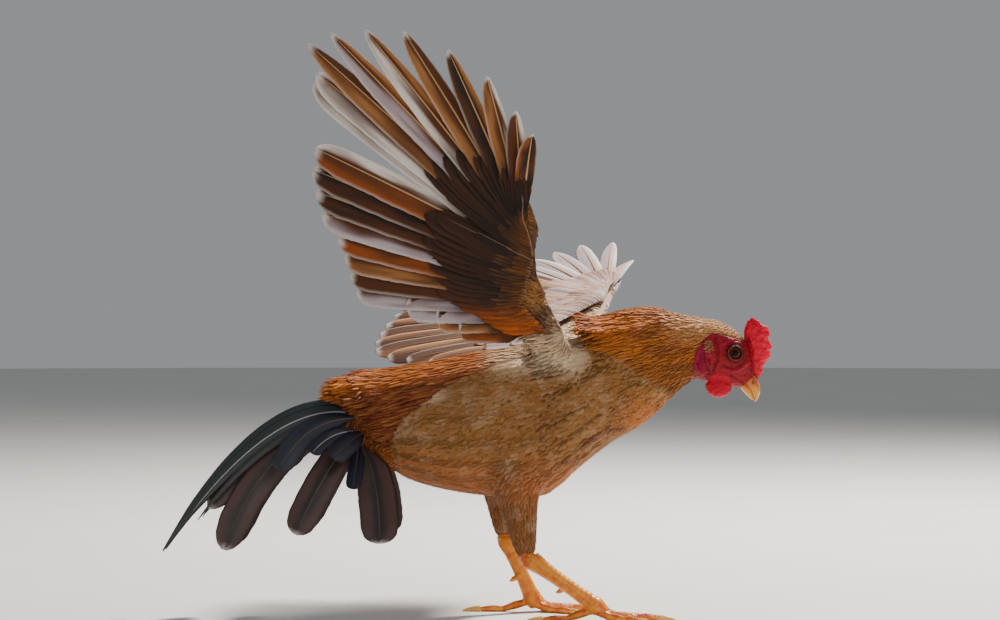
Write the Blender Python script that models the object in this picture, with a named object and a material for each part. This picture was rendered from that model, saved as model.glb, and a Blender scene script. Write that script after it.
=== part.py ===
# Life-size still model of a young fighting bantam cockerel.
# It leans forward on both feet, one wing raised and the other stretched away.
# The bird faces +X, its left side is +Y, and the floor is Z = 0.
# Sizes are in millimetres and become metres when a mesh is made.

import math
import random

import bmesh
import bpy
import numpy as np
from mathutils import Matrix, Vector

MM = 0.001
SEAM = 0.3
GROW = 0.36
VANE_THICK = 0.6
TIP_THICK = 0.3
FLAT_ANGLE = math.radians(0.4)

# Body, neck and head as sections: top x, top z, bottom x, bottom z,
# half width, and the share of the height at which it is widest.
TORSO_SECTIONS = (
    (-69, 138, -62, 107, 15, 0.55),
    (-58, 143, -55, 95, 25, 0.55),
    (-41, 147, -42, 83, 33, 0.5),
    (-20, 151, -22, 75.5, 37.5, 0.5),
    (2, 155.5, 1, 71, 40, 0.5),
    (26, 159.5, 25, 69, 41, 0.52),
    (48, 162.5, 47, 70.5, 39, 0.54),
    (64, 165, 65, 86, 35, 0.55),
    (73, 169, 84, 101, 31, 0.52),
)
NECK_SECTIONS = (
    (81, 176, 101, 110.5, 27.5, 0.5),
    (93, 181.5, 113, 120.5, 23, 0.5),
    (106, 183, 123, 129.5, 19.5, 0.5),
    (119, 181, 129.5, 136.5, 16.5, 0.5),
)
HEAD_SECTIONS = (
    (130, 177.5, 134.5, 139.5, 14.2, 0.5),
    (141, 176, 138.5, 138, 13.2, 0.52),
    (150, 173, 143, 137, 12.4, 0.55),
    (157.5, 168.5, 148, 135.8, 11.6, 0.58),
    (162.8, 163, 152.5, 135, 10.2, 0.58),
    (165.8, 156, 156, 134.8, 8.2, 0.52),
    (167, 148.5, 158.6, 134.8, 6.2, 0.45),
    (167.4, 141.6, 160.4, 135, 4.6, 0.5),
)
BODY_SIDES = 20
BODY_SQUARENESS = 0.92

# Eyes, lids, ears and the bare parts of the head.
EYE_PLACE = (156.0, 8.9, 154.8)
EYE_RADIUS = 4.1
LID_RADIUS = 4.3
LID_THICK = 1.15
LID_HEIGHT = 0.92
LID_STAND = 2.5
LID_RISE = 1.5
EAR_PLACE = (139.5, 13.0, 156.5)
EAR_SIZE = (3.6, 2.2, 4.4)
EAR_HOLLOW = (2.1, 2.0, 2.8)
EAR_HOLLOW_OUT = 3.0
LOBE_PLACE = (137.8, 13.2, 148.5)
LOBE_SIZE = (3.6, 1.9, 7.0)
LOBE_FOLD = 0.06
WATTLE_PLACE = (147.2, 6.2, 135.2)
WATTLE_SIZE = (7.6, 2.6, 6.6)
WATTLE_TURN = 8.0
WATTLE_FOLD = 0.07
GAPE_PLACE = (158.6, 6.6, 140.4)
GAPE_SIZE = (4.6, 1.3, 0.55)
GAPE_SLOPE = 38.0
NOSTRIL_PLACE = (167.2, 2.7, 137.4)
NOSTRIL_SIZE = (0.7, 1.3, 1.5)

# Beak: x, y, z, half depth and half breadth, from the face to the point.
BEAK_UPPER = (
    (164.2, 0, 139.6, 3.4, 4.3),
    (166.6, 0, 137.2, 3.6, 4.1),
    (168.4, 0, 134.6, 3.2, 3.5),
    (169.4, 0, 131.6, 2.3, 2.5),
    (169.4, 0, 128.8, 1.3, 1.5),
    (169.0, 0, 126.4, 0.5, 0.6),
)
BEAK_LOWER = (
    (160.8, 0, 136.4, 1.6, 4.0),
    (162.6, 0, 134.2, 1.9, 3.5),
    (164.4, 0, 131.6, 1.5, 2.6),
    (166.2, 0, 129.0, 0.9, 1.5),
    (167.0, 0, 127.6, 0.5, 0.7),
)

# Comb: base x, base z, edge x, edge z, half thickness.
COMB_SECTIONS = (
    (161.6, 168.2, 163.6, 171.2, 0.9),
    (163.4, 165.8, 167.4, 175.6, 2.4),
    (164.9, 161.8, 172.6, 174.2, 3.0),
    (165.9, 157.6, 177.4, 167.4, 3.1),
    (166.6, 153.2, 178.4, 158.8, 3.0),
    (167.3, 148.4, 176.6, 151.2, 2.7),
    (168.0, 143.8, 173.0, 144.6, 2.2),
    (168.4, 141.2, 170.2, 140.6, 1.0),
)
COMB_POINTS = 4
COMB_NOTCH = 1.1
COMB_ROOT = 3.0
COMB_EDGE_THINNING = 0.3

# Tail feathers of one side, seen from that side: root, knee and tip as x and z,
# then how far the root and the tip stand out from the middle, and the width.
RUMP_PLACE = (-64.0, 0.0, 111.0)
RUMP_SIZE = (14.0, 14.0, 17.0)
TAIL_FEATHERS = (
    ("upper", -64, 119, -100, 120, -152, 64, 1.4, 7, 15.0),
    ("main", -65, 116, -119, 108, -142.0, 40.5, 3.2, 17, 20.5),
    ("middle", -64, 109, -80, 94, -99.5, 50.5, 4.9, 30, 19.5),
    ("outer", -63, 102, -51, 86, -50.0, 46.0, 6.6, 40, 23.0),
)
TAIL_COVERTS = (
    ("long", -65, 117, -96, 117, -109, 87, 10.0, 24, 15.0),
    ("curled", -65, 109, -80, 110, -90, 97, 8.6, 28, 10.0),
    ("flank", -60, 109, -66, 106, -78, 95, 10.6, 33, 13.0),
    ("vent", -64, 102, -64, 92, -66, 77, 8.6, 36, 9.5),
)
SICKLES = (
    ("long", -64, 121, -116, 138, -178.5, 39, 5.0, 7, 9.5),
    ("second", -64, 119, -110, 130, -165, 57, 6.7, 10, 10.5),
    ("thin", -64, 116, -109, 122, -157.5, 57.5, 8.4, 13, 5.0),
)

# A tail feather's knee stands between its root and its tip, nearer the root.
KNEE_SHARE = 0.45
TAIL_FACE_LIFT = 0.25

# Tiers of long body feathers: ring of the body, how many, the arc they cover in
# degrees, length, width and how far their tips stand off.
FEATHER_SUNK = 2.0
FEATHER_BACK = 3.0
FEATHER_BOW = 1.2
HACKLE_TIERS = ((2, 10, 262, 21, 15.0, 2.8), (4, 8, 250, 19, 14.0, 2.4))
SADDLE_TIERS = ((3, 6, 150, 25, 16.0, 2.2), (1, 5, 150, 20, 14.0, 2.8))

# Legs: hock, ball of the foot and the way the middle toe points.
LEGS = {
    "right": {
        "side": -1,
        "hip": (28.0, 22.0, 78.0),
        "hock": (34.0, 23.0, 37.5),
        "ball": (74.5, 25.0, 8.6),
        "toe_turn": -2.0,
    },
    "left": {
        "side": 1,
        "hip": (20.0, 22.0, 80.0),
        "hock": (22.0, 23.0, 45.0),
        "ball": (38.0, 25.0, 8.6),
        "toe_turn": 4.0,
    },
}
# Toes: turn from the middle toe, where they start ahead of the ball of the foot,
# length without the claw, root radius and claw length.
TOES = (
    ("inner", -34.0, -1.0, 27.0, 3.1, 8.5),
    ("middle", 0.0, -1.0, 37.0, 3.4, 9.5),
    ("outer", 32.0, -1.0, 29.0, 3.0, 8.5),
    ("hind", 174.0, 3.0, 28.0, 2.8, 10.0),
)

# Half depth and half breadth along each part of a leg, at shares of its length.
THIGH_ROWS = ((-0.35, 19, 15), (0.0, 16, 13), (0.3, 12.5, 10.5), (0.6, 10, 8.5),
              (0.85, 8, 7), (1.0, 6.2, 5.6))
SHANK_ROWS = ((0.0, 5.6, 5.4), (0.1, 6.0, 5.2), (0.25, 4.8, 4.2), (0.5, 4.3, 3.7),
              (0.75, 4.5, 3.8), (0.9, 5.0, 4.4))
# Spur bud: back, inward and down from its place on the shank, and its radius.
SPUR_SHARE = 0.6
SPUR_ROWS = ((1, 2, 1, 2.2), (5, 4, 3.5, 1.6), (7, 5, 4.5, 0.6))
# Heart of the foot: how far past the shank, half depth and half breadth.
FOOT_ROWS = ((SEAM, 5.0, 4.5), (3.0, 5.6, 5.6), (6.5, 5.4, 6.2), (10, 3.5, 4.5))
TOE_JOINTS = 3
HIND_JOINTS = 2
TOE_WAIST = 0.84
TOE_TAPER = 0.3
TOE_DEPTH = 1.05
TOE_SINK = 0.82
TOE_ARCH = 4.0
TOE_ARCH_END = 2.2
# Claw: share of its length, how far it drops, and half breadth.
CLAW_ROWS = ((0, 0, 1.5), (0.35, -0.4, 1.35), (0.7, 0.3, 0.95), (1, 1.35, 0.35))
CLAW_DEPTH = 1.15

# Wings: places in the plane of the wing, ahead of and out from the shoulder.
PRIMARIES = 10
SECONDARIES = 11
BLIND_TILT = 13.0
ARM_RIGHT = (
    # ahead and out at the front edge, the same at the rear edge, half thickness,
    # and how far the section lies toward the upper face
    (6, -18, -20, -18, 10, 14),
    (4, -4, -22, -4, 9.5, 7),
    (0, 10, -27, 8, 8, 2),
    (-9, 28, -38, 24, 6.2, 0),
    (-18, 46, -36, 42, 4.8, 0),
    (-19, 60, -31, 57, 4.6, 0),
    (-17, 74, -31, 70, 4.2, 0),
    (-21, 86, -32, 82, 3.2, 0),
    (-26, 97, -31, 94, 1.6, 0),
)
ARM_LEFT = (
    (16, -18, -16, -18, 10, -8),
    (18, -4, -16, -4, 9.5, -4),
    (20, 10, -17, 10, 8, -1),
    (25, 32, -14, 33, 6.2, 0),
    (30, 54, 2, 56, 4.8, 0),
    (32, 70, 16, 74, 4.6, 0),
    (35, 84, 22, 88, 4.2, 0),
    (37, 97, 27, 100, 3.0, 0),
    (38, 107, 32, 109, 1.6, 0),
)
WINGS = {
    "right": {
        "side": -1,
        "shoulder": (60.0, -32.0, 156.0),
        "lean": 104.0,
        "twist": 0.0,
        "arm": ARM_RIGHT,
        "hand_tip": (-28.5, 85.0),
        "wrist": (-26.0, 60.0),
        "elbow": (-34.0, 30.0),
        "armpit": (-16.0, 10.0),
        "primary_angles": (141.0, 83.0),
        "secondary_angles": (153.0, 177.0),
        "primary_lengths": (154, 154, 167, 160, 147, 132, 109, 85, 60, 44),
        "secondary_lengths": (134, 131, 125, 118, 106, 100, 95, 90, 66, 54, 46),
        "outer_bend": 0.22,
    },
    "left": {
        "side": 1,
        "shoulder": (56.0, 30.0, 154.0),
        "lean": 20.0,
        "twist": 7.0,
        "arm": ARM_LEFT,
        "hand_tip": (32.0, 100.0),
        "wrist": (24.0, 74.0),
        "elbow": (-5.0, 40.0),
        "armpit": (-12.0, 8.0),
        "primary_angles": (136.0, 75.0),
        "secondary_angles": (146.0, 182.0),
        "primary_lengths": (138, 134, 122, 110, 104, 104, 108, 113, 110, 66),
        "secondary_lengths": (134, 130, 126, 123, 121, 118, 115, 110, 100, 86, 70),
        "outer_bend": 0.05,
    },
}
PRIMARY_WIDTH = 17.5
SECONDARY_WIDTH = 19.0
HAND_NARROWING = 0.25
# How the quills stand along hand and forearm, and the share of a blade that lies
# ahead of its shaft.
FAN_POWER = 1.8
FOREARM_START = 0.06
FOREARM_SPREAD = 0.75
ELBOW_SHARE = 0.7
UPPER_ARM_SPREAD = 2.8
SECONDARY_FAN = 1.35
PRIMARY_LEAD = 0.38
SECONDARY_LEAD = 0.42
COVERT_LEAD = 0.45
COVERT_START = (0.3, 0.4)
COVERT_NARROWING = 0.3
ARM_SIDES = 12
ARM_REAR_FULLNESS = 0.25
# Wing coverts: share of a flight feather's length, width, how far they lie off
# the flight feathers at the root and at the tip, and how many beside each other.
COVERT_TIERS = ((0.46, 19.5, 2.8, 5.6, 5), (0.24, 18.5, 3.2, 9.0, 4))
CAMBER = 2.6
TIP_CAMBER_LOSS = 0.1

# Shares of length and width along a feather.
FLIGHT_PROFILE = ((0, 0.16), (0.1, 0.26), (0.3, 0.92), (0.86, 0.94), (1, 0.3))
COVERT_PROFILE = ((0, 0.4), (0.35, 0.95), (0.85, 0.86), (1, 0.3))
TAIL_PROFILE = ((0, 0.16), (0.1, 0.3), (0.3, 0.9), (0.6, 1.0), (0.88, 0.92), (1, 0.3))
SICKLE_PROFILE = ((0, 0.3), (0.16, 0.9), (0.34, 1.0), (0.52, 0.95), (0.7, 0.8), (0.86, 0.6),
                  (1, 0.12))

X_AXIS = Vector((1, 0, 0))
Y_AXIS = Vector((0, 1, 0))
Z_AXIS = Vector((0, 0, 1))

draw = random.Random(7)


def clear_scene():
    for item in list(bpy.data.objects):
        bpy.data.objects.remove(item, do_unlink=True)


def material(name, colour, roughness=0.7, metallic=0.0):
    made = bpy.data.materials.new(name)
    made.use_nodes = True
    shader = made.node_tree.nodes["Principled BSDF"]
    shader.inputs["Base Color"].default_value = (*colour, 1.0)
    shader.inputs["Roughness"].default_value = roughness
    shader.inputs["Metallic"].default_value = metallic
    return made


def solid(name, points, faces):
    """An object with a closed mesh of these points, given in millimetres."""
    mesh = bpy.data.meshes.new(name)
    mesh.from_pydata([Vector(p) * MM for p in points], [], faces)
    shell = bmesh.new()
    shell.from_mesh(mesh)
    bmesh.ops.triangulate(shell, faces=shell.faces)
    bmesh.ops.recalc_face_normals(shell, faces=shell.faces)
    shell.to_mesh(mesh)
    shell.free()
    item = bpy.data.objects.new(name, mesh)
    bpy.context.collection.objects.link(item)
    return item


def smooth(rows, per_span):
    """Rows of numbers on a Catmull-Rom curve through the given rows."""
    rows = np.array(rows, dtype=float)
    padded = np.vstack([2 * rows[0] - rows[1], rows, 2 * rows[-1] - rows[-2]])
    out = []
    for k in range(1, len(padded) - 2):
        before, here, there, after = padded[k - 1 : k + 3]
        for step in range(per_span):
            t = step / per_span
            out.append(
                0.5
                * (
                    2 * here
                    + (there - before) * t
                    + (2 * before - 5 * here + 4 * there - after) * t**2
                    + (3 * here - before - 3 * there + after) * t**3
                )
            )
    out.append(rows[-1])
    return out


def loft(name, rings):
    """A closed solid through rings of points, its ends capped."""
    count = len(rings[0])
    points = [p for ring in rings for p in ring]
    faces = []
    for k in range(len(rings) - 1):
        for j in range(count):
            a = k * count + j
            b = k * count + (j + 1) % count
            faces.append((a, b, b + count, a + count))
    faces.append(tuple(range(count)))
    faces.append(tuple(range(len(points) - count, len(points))))
    return solid(name, points, faces)


def ring_normal(ring):
    third = len(ring) // 3
    return (ring[third] - ring[0]).cross(ring[2 * third] - ring[0]).normalized()


def ring_middle(ring):
    return sum(ring, Vector()) / len(ring)


def moved_ring(ring, toward, distance):
    """The ring moved along its own axis, away from or toward a point."""
    normal = ring_normal(ring)
    if normal.dot(toward - ring_middle(ring)) < 0:
        normal = -normal
    return [p + normal * distance for p in ring]


def grown_rings(rings, by):
    """The same rings larger by a clearance, and reaching past both ends."""
    out = []
    for ring in rings:
        middle = ring_middle(ring)
        out.append([p + (p - middle).normalized() * by for p in ring])
    out[0] = moved_ring(out[0], ring_middle(rings[1]), -by)
    out[-1] = moved_ring(out[-1], ring_middle(rings[-2]), -by)
    return out


def section_ring(row):
    """A section of the body, upright or leaning, the same on both sides."""
    top = Vector((row[0], 0, row[1]))
    bottom = Vector((row[2], 0, row[3]))
    middle = bottom.lerp(top, row[5])
    ring = []
    for j in range(BODY_SIDES):
        angle = 2 * math.pi * (j + 0.5) / BODY_SIDES
        wide = math.copysign(abs(math.cos(angle)) ** BODY_SQUARENESS, math.cos(angle))
        high = abs(math.sin(angle)) ** BODY_SQUARENESS
        reach = top if math.sin(angle) > 0 else bottom
        ring.append(middle + (reach - middle) * high + Y_AXIS * row[4] * wide)
    return ring


def limb_rings(rows, sides, across, floor=None):
    """Rings round a path: x, y, z, half depth and half breadth in each row."""
    centres = [Vector(row[:3]) for row in rows]
    rings = []
    for k, row in enumerate(rows):
        after = centres[min(k + 1, len(rows) - 1)]
        before = centres[max(k - 1, 0)]
        along = (after - before).normalized()
        side = (across - along * across.dot(along)).normalized()
        up = along.cross(side)
        ring = []
        for j in range(sides):
            angle = 2 * math.pi * (j + 0.5) / sides
            p = centres[k] + side * row[4] * math.cos(angle) + up * row[3] * math.sin(angle)
            if floor is not None:
                p.z = max(p.z, floor)
            ring.append(p)
        rings.append(ring)
    return rings


def ball(name, centre, radii, rings=8, sides=12, turn=None, ripple=0.0, waves=3):
    """A rounded lump, with folds round it where ripple is given."""
    turn = turn or Matrix.Identity(3)
    points = [Vector(centre) + turn @ Vector((0, 0, radii[2]))]
    for k in range(1, rings):
        polar = math.pi * k / rings
        for j in range(sides):
            angle = 2 * math.pi * j / sides
            swell = 1 + ripple * math.sin(waves * angle) * math.sin(polar)
            p = Vector(
                (
                    radii[0] * math.sin(polar) * math.cos(angle) * swell,
                    radii[1] * math.sin(polar) * math.sin(angle) * swell,
                    radii[2] * math.cos(polar),
                )
            )
            points.append(Vector(centre) + turn @ p)
    points.append(Vector(centre) - turn @ Vector((0, 0, radii[2])))
    faces = []
    last = len(points) - 1
    for j in range(sides):
        after = (j + 1) % sides
        faces.append((0, 1 + j, 1 + after))
        for k in range(rings - 2):
            a = 1 + k * sides
            faces.append((a + j, a + sides + j, a + sides + after, a + after))
        low = 1 + (rings - 2) * sides
        faces.append((low + j, last, low + after))
    return solid(name, points, faces)


def vane(path, face, width, profile, lead=0.5):
    """A feather's blade: closed, flat across, both faces split alike."""
    points = []
    shares = [share for share, part in profile]
    spine = [path(share) for share in shares]
    for k, (share, part) in enumerate(profile):
        along = (spine[min(k + 1, len(spine) - 1)] - spine[max(k - 1, 0)]).normalized()
        forward = along.cross(face).normalized()
        up = forward.cross(along).normalized()
        half = VANE_THICK / 2 if k < len(profile) - 1 else TIP_THICK / 2
        front = spine[k] + forward * width * part * lead
        back = spine[k] - forward * width * part * (1 - lead)
        points += [front + up * half, back + up * half, back - up * half, front - up * half]
    faces = [(0, 1, 2, 3)]
    for k in range(len(profile) - 1):
        a = 4 * k
        b = a + 4
        faces += [(a, a + 1, b + 1), (a, b + 1, b)]
        faces += [(a + 3, a + 2, b + 2), (a + 3, b + 2, b + 3)]
        faces += [(a, b, b + 3, a + 3), (a + 1, a + 2, b + 2, b + 1)]
    end = len(points) - 4
    faces.append((end, end + 1, end + 2, end + 3))
    return solid("vane", points, faces)


def bent_path(root, tip, bow):
    """A path from root to tip that swells by bow at its middle."""
    root = Vector(root)
    tip = Vector(tip)
    return lambda share: root.lerp(tip, share) + bow * (4 * share * (1 - share))


def applied(item):
    """Bakes the modifiers and keeps only the largest closed surface."""
    graph = bpy.context.evaluated_depsgraph_get()
    mesh = bpy.data.meshes.new_from_object(item.evaluated_get(graph))
    item.modifiers.clear()
    old = item.data
    item.data = mesh
    bpy.data.meshes.remove(old)
    shell = bmesh.new()
    shell.from_mesh(mesh)
    bmesh.ops.triangulate(shell, faces=shell.faces)
    left = set(shell.faces)
    best = []
    most = 0.0
    while left:
        seed = left.pop()
        patch = [seed]
        stack = [seed]
        while stack:
            for edge in stack.pop().edges:
                for face in edge.link_faces:
                    if face in left:
                        left.remove(face)
                        patch.append(face)
                        stack.append(face)
        volume = sum(
            f.verts[0].co.dot(f.verts[1].co.cross(f.verts[2].co)) for f in patch
        )
        if abs(volume) > most:
            most = abs(volume)
            best = patch
    keep = set(best)
    spare = [f for f in shell.faces if f not in keep]
    bmesh.ops.delete(shell, geom=spare, context="FACES")
    loose = [v for v in shell.verts if not v.link_faces]
    bmesh.ops.delete(shell, geom=loose, context="VERTS")
    bmesh.ops.dissolve_limit(
        shell, angle_limit=FLAT_ANGLE, verts=shell.verts, edges=shell.edges
    )
    bmesh.ops.triangulate(shell, faces=shell.faces)
    shell.to_mesh(mesh)
    shell.free()
    return item


def combine(item, others, operation, solver="EXACT"):
    """One Boolean with a collection of closed pieces, which it uses up."""
    if not others:
        return item
    group = bpy.data.collections.new(item.name + "_pieces")
    bpy.context.scene.collection.children.link(group)
    for other in others:
        for owner in list(other.users_collection):
            owner.objects.unlink(other)
        group.objects.link(other)
    change = item.modifiers.new(operation.lower(), "BOOLEAN")
    change.operation = operation
    change.operand_type = "COLLECTION"
    change.collection = group
    change.solver = solver
    applied(item)
    for other in others:
        bpy.data.objects.remove(other, do_unlink=True)
    bpy.data.collections.remove(group)
    return item


def clearance(item):
    """A slightly larger copy of a finished part, for cutting its neighbour clear."""
    mesh = item.data.copy()
    normals = [v.normal.copy() for v in mesh.vertices]
    for v, normal in zip(mesh.vertices, normals):
        v.co += normal * GROW * MM
    other = bpy.data.objects.new("clearance", mesh)
    bpy.context.collection.objects.link(other)
    return other


def finish(item, name, look, angle=40.0):
    item.name = name
    item.data.name = name
    item.data.materials.clear()
    item.data.materials.append(look)
    item.data.shade_smooth()
    item.data.set_sharp_from_angle(angle=math.radians(angle))
    return item


def body_rings():
    """Rings of torso, neck and head along one back line, each with its seam."""
    rows = TORSO_SECTIONS + NECK_SECTIONS + HEAD_SECTIONS
    dense = smooth(rows, 2)
    rings = [section_ring(row) for row in dense]
    neck_at = 2 * (len(TORSO_SECTIONS) - 1) + 1
    head_at = 2 * (len(TORSO_SECTIONS) + len(NECK_SECTIONS)) - 1
    torso = rings[: neck_at + 1]
    neck = rings[neck_at : head_at + 1]
    head = rings[head_at:]
    neck[0] = moved_ring(neck[0], ring_middle(neck[1]), SEAM)
    head[0] = moved_ring(head[0], ring_middle(head[1]), SEAM)
    return torso, neck, head


def feather_row(rings, at, count, spread, length, width, lift, start=0.5):
    """A tier of feathers round a body, lying back from one ring."""
    ring = rings[at]
    middle = ring_middle(ring)
    normal = ring_normal(ring)
    back = ring_middle(rings[max(at - 1, 0)]) - middle
    if normal.dot(back) < 0:
        normal = -normal
    out = []
    for k in range(count):
        turn = (k + start) / count - 0.5
        angle = math.pi / 2 + turn * math.radians(spread)
        place = (angle / (2 * math.pi)) * len(ring) - 0.5
        low = int(math.floor(place))
        here = ring[low % len(ring)].lerp(ring[(low + 1) % len(ring)], place - low)
        outward = (here - middle).normalized()
        reach = length * (0.92 + 0.16 * draw.random())
        root = here - outward * FEATHER_SUNK - normal * FEATHER_BACK
        tip = here + normal * reach + outward * lift
        bow = outward * FEATHER_BOW
        out.append(vane(bent_path(root, tip, bow), outward, width, COVERT_PROFILE))
    return out


def make_torso(rings, look):
    torso = loft("torso", rings)
    pieces = []
    for at, count, arc, length, width, lift in SADDLE_TIERS:
        pieces += feather_row(rings, at, count, arc, length, width, lift)
    combine(torso, pieces, "UNION")
    return finish(torso, "torso", look)


def make_neck(rings, torso_cutter, look):
    neck = loft("neck", rings)
    pieces = []
    for at, count, arc, length, width, lift in HACKLE_TIERS:
        pieces += feather_row(rings, at, count, arc, length, width, lift)
    combine(neck, pieces, "UNION")
    cutters = [torso_cutter()]
    for wing in WINGS.values():
        cutters.append(loft("arm_clearance", grown_rings(arm_rings(wing), GROW)))
    combine(neck, cutters, "DIFFERENCE")
    return finish(neck, "neck", look)


def lid(side):
    """The raised rim round one eye."""
    centre = Vector((EYE_PLACE[0], side * EYE_PLACE[1], EYE_PLACE[2]))
    outward = Vector((0.2, side, 0.05)).normalized()
    right = outward.cross(Z_AXIS).normalized()
    up = right.cross(outward)
    steps = 12
    around = 5
    points = []
    faces = []
    for k in range(steps):
        angle = 2 * math.pi * k / steps
        spoke = right * math.cos(angle) + up * math.sin(angle) * LID_HEIGHT
        for j in range(around):
            turn = 2 * math.pi * j / around
            offset = spoke * (LID_RADIUS + LID_THICK * math.cos(turn))
            rise = LID_STAND + LID_RISE * math.sin(turn)
            points.append(centre + offset + outward * rise)
            a = k * around + j
            b = k * around + (j + 1) % around
            c = ((k + 1) % steps) * around
            faces.append((a, b, c + (j + 1) % around, c + j))
    return solid("lid", points, faces)


def make_head(rings, look):
    head = loft("head", rings)
    combine(head, [lid(-1), lid(1)], "UNION")
    cuts = []
    for side in (-1, 1):
        place = (EYE_PLACE[0], side * EYE_PLACE[1], EYE_PLACE[2])
        radius = EYE_RADIUS + SEAM
        cuts.append(ball("socket", place, (radius,) * 3, 10, 12))
        gape = (GAPE_PLACE[0], side * GAPE_PLACE[1], GAPE_PLACE[2])
        turn = Matrix.Rotation(math.radians(GAPE_SLOPE), 3, "Y")
        cuts.append(ball("gape", gape, GAPE_SIZE, 6, 8, turn))
    combine(head, cuts, "DIFFERENCE")
    return finish(head, "head", look)


def make_eyes(look):
    for name, side in (("right", -1), ("left", 1)):
        place = (EYE_PLACE[0], side * EYE_PLACE[1], EYE_PLACE[2])
        eye = ball("eye", place, (EYE_RADIUS,) * 3, 8, 12)
        finish(eye, "eye_" + name, look)


def make_comb(head_cutter, look):
    """A single comb: sections from its base to its notched edge."""
    rings = []
    dense = smooth(COMB_SECTIONS, 2)
    for k, row in enumerate(dense):
        share = k / (len(dense) - 1)
        base = Vector((row[0], 0, row[1]))
        edge = Vector((row[2], 0, row[3]))
        out = (edge - base).normalized()
        notch = abs(math.cos(math.pi * COMB_POINTS * share))
        edge = edge - out * COMB_NOTCH * 2 * notch * min(1, 6 * share, 6 * (1 - share))
        base = base - out * COMB_ROOT
        ring = []
        for j in range(8):
            angle = 2 * math.pi * (j + 0.5) / 8
            middle = base.lerp(edge, 0.5)
            ring.append(
                middle
                + (edge - middle) * math.sin(angle)
                + Y_AXIS * row[4] * math.cos(angle)
                * (1 - COMB_EDGE_THINNING * math.sin(angle))
            )
        rings.append(ring)
    comb = loft("comb", rings)
    combine(comb, [head_cutter()], "DIFFERENCE")
    return finish(comb, "comb", look)


def make_wattles(cutters, look):
    for name, side in (("right", -1), ("left", 1)):
        place = (WATTLE_PLACE[0], side * WATTLE_PLACE[1], WATTLE_PLACE[2])
        turn = Matrix.Rotation(math.radians(WATTLE_TURN * side), 3, "X")
        lobe = ball("wattle", place, WATTLE_SIZE, 8, 12, turn, WATTLE_FOLD, 4)
        combine(lobe, [cut() for cut in cutters], "DIFFERENCE")
        finish(lobe, "wattle_" + name, look)


def make_ears(cutters, look):
    """The ear's cup with its tuft, and the bare lobe below it."""
    for name, side in (("right", -1), ("left", 1)):
        place = (EAR_PLACE[0], side * EAR_PLACE[1], EAR_PLACE[2])
        cup = ball("ear", place, EAR_SIZE, 6, 10)
        place = (LOBE_PLACE[0], side * LOBE_PLACE[1], LOBE_PLACE[2])
        lobe = ball("lobe", place, LOBE_SIZE, 7, 10, None, LOBE_FOLD, 3)
        combine(cup, [lobe], "UNION")
        place = (EAR_PLACE[0], side * (EAR_PLACE[1] + EAR_HOLLOW_OUT), EAR_PLACE[2])
        hollow = ball("hollow", place, EAR_HOLLOW, 5, 8)
        combine(cup, [hollow] + [cut() for cut in cutters], "DIFFERENCE")
        finish(cup, "ear_" + name, look)


def make_beak(head_rings, look):
    """Both halves of the beak, starting a seam ahead of the face."""
    upper = None
    for name, rows in (("beak_upper", BEAK_UPPER), ("beak_lower", BEAK_LOWER)):
        half = loft(name, limb_rings(smooth(rows, 2), 10, Y_AXIS))
        cuts = [loft("cut", grown_rings(head_rings, GROW))]
        if upper:
            cuts.append(clearance(upper))
        else:
            for side in (-1, 1):
                pit = (NOSTRIL_PLACE[0], side * NOSTRIL_PLACE[1], NOSTRIL_PLACE[2])
                cuts.append(ball("nostril", pit, NOSTRIL_SIZE, 6, 8))
        combine(half, cuts, "DIFFERENCE")
        upper = finish(half, name, look)


def curved_vane(row, side, profile):
    """A tail feather that stands on edge, like one side of a tent."""
    root = Vector((row[1], side * row[7], row[2]))
    tip = Vector((row[5], side * row[8], row[6]))
    out = row[7] * (1 - KNEE_SHARE) + row[8] * KNEE_SHARE
    knee = Vector((row[3], side * out, row[4]))

    def path(share):
        return root * (1 - share) ** 2 + knee * (2 * share * (1 - share)) + tip * share**2

    face = Vector((0, side, TAIL_FACE_LIFT)).normalized()
    return vane(path, face, row[9], profile, 0.5)


def make_tail(torso_cutter, look):
    rump = ball("tail", RUMP_PLACE, RUMP_SIZE, 8, 12)
    pieces = []
    for side in (-1, 1):
        for row in TAIL_FEATHERS:
            pieces.append(curved_vane(row, side, TAIL_PROFILE))
        for row in TAIL_COVERTS:
            pieces.append(curved_vane(row, side, COVERT_PROFILE))
        for row in SICKLES:
            pieces.append(curved_vane(row, side, SICKLE_PROFILE))
    combine(rump, pieces, "UNION")
    combine(rump, [torso_cutter()], "DIFFERENCE")
    return finish(rump, "tail", look)


def make_thigh(name, hip, hock, torso_cutter, look):
    rows = []
    for share, depth, breadth in THIGH_ROWS:
        rows.append((*(hip + (hock - hip) * share), depth, breadth))
    thigh = loft("thigh", limb_rings(smooth(rows, 2), 12, Y_AXIS))
    combine(thigh, [torso_cutter()], "DIFFERENCE")
    return finish(thigh, "thigh_" + name, look)


def make_shank(name, side, start, foot, down, thigh_cutter, look):
    """The bare shank with the bud of its spur, cut square where the thigh ends."""
    rows = []
    for share, depth, breadth in SHANK_ROWS:
        rows.append((*(start + (foot - start) * share), depth, breadth))
    rings = limb_rings(smooth(rows, 2), 12, Y_AXIS)
    rings[0] = [start + (p - ring_middle(rings[0])) for p in rings[0]]
    rings[0] = [p - down * (p - start).dot(down) for p in rings[0]]
    shank = loft("shank", rings)
    place = (start - down * SEAM).lerp(foot, SPUR_SHARE)
    rows = []
    for back, inward, drop, radius in SPUR_ROWS:
        rows.append((*(place + Vector((-back, -side * inward, -drop))), radius, radius))
    spur = loft("spur", limb_rings(rows, 8, Z_AXIS))
    combine(shank, [spur], "UNION")
    combine(shank, [thigh_cutter], "DIFFERENCE")
    return finish(shank, "shank_" + name, look)


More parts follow.
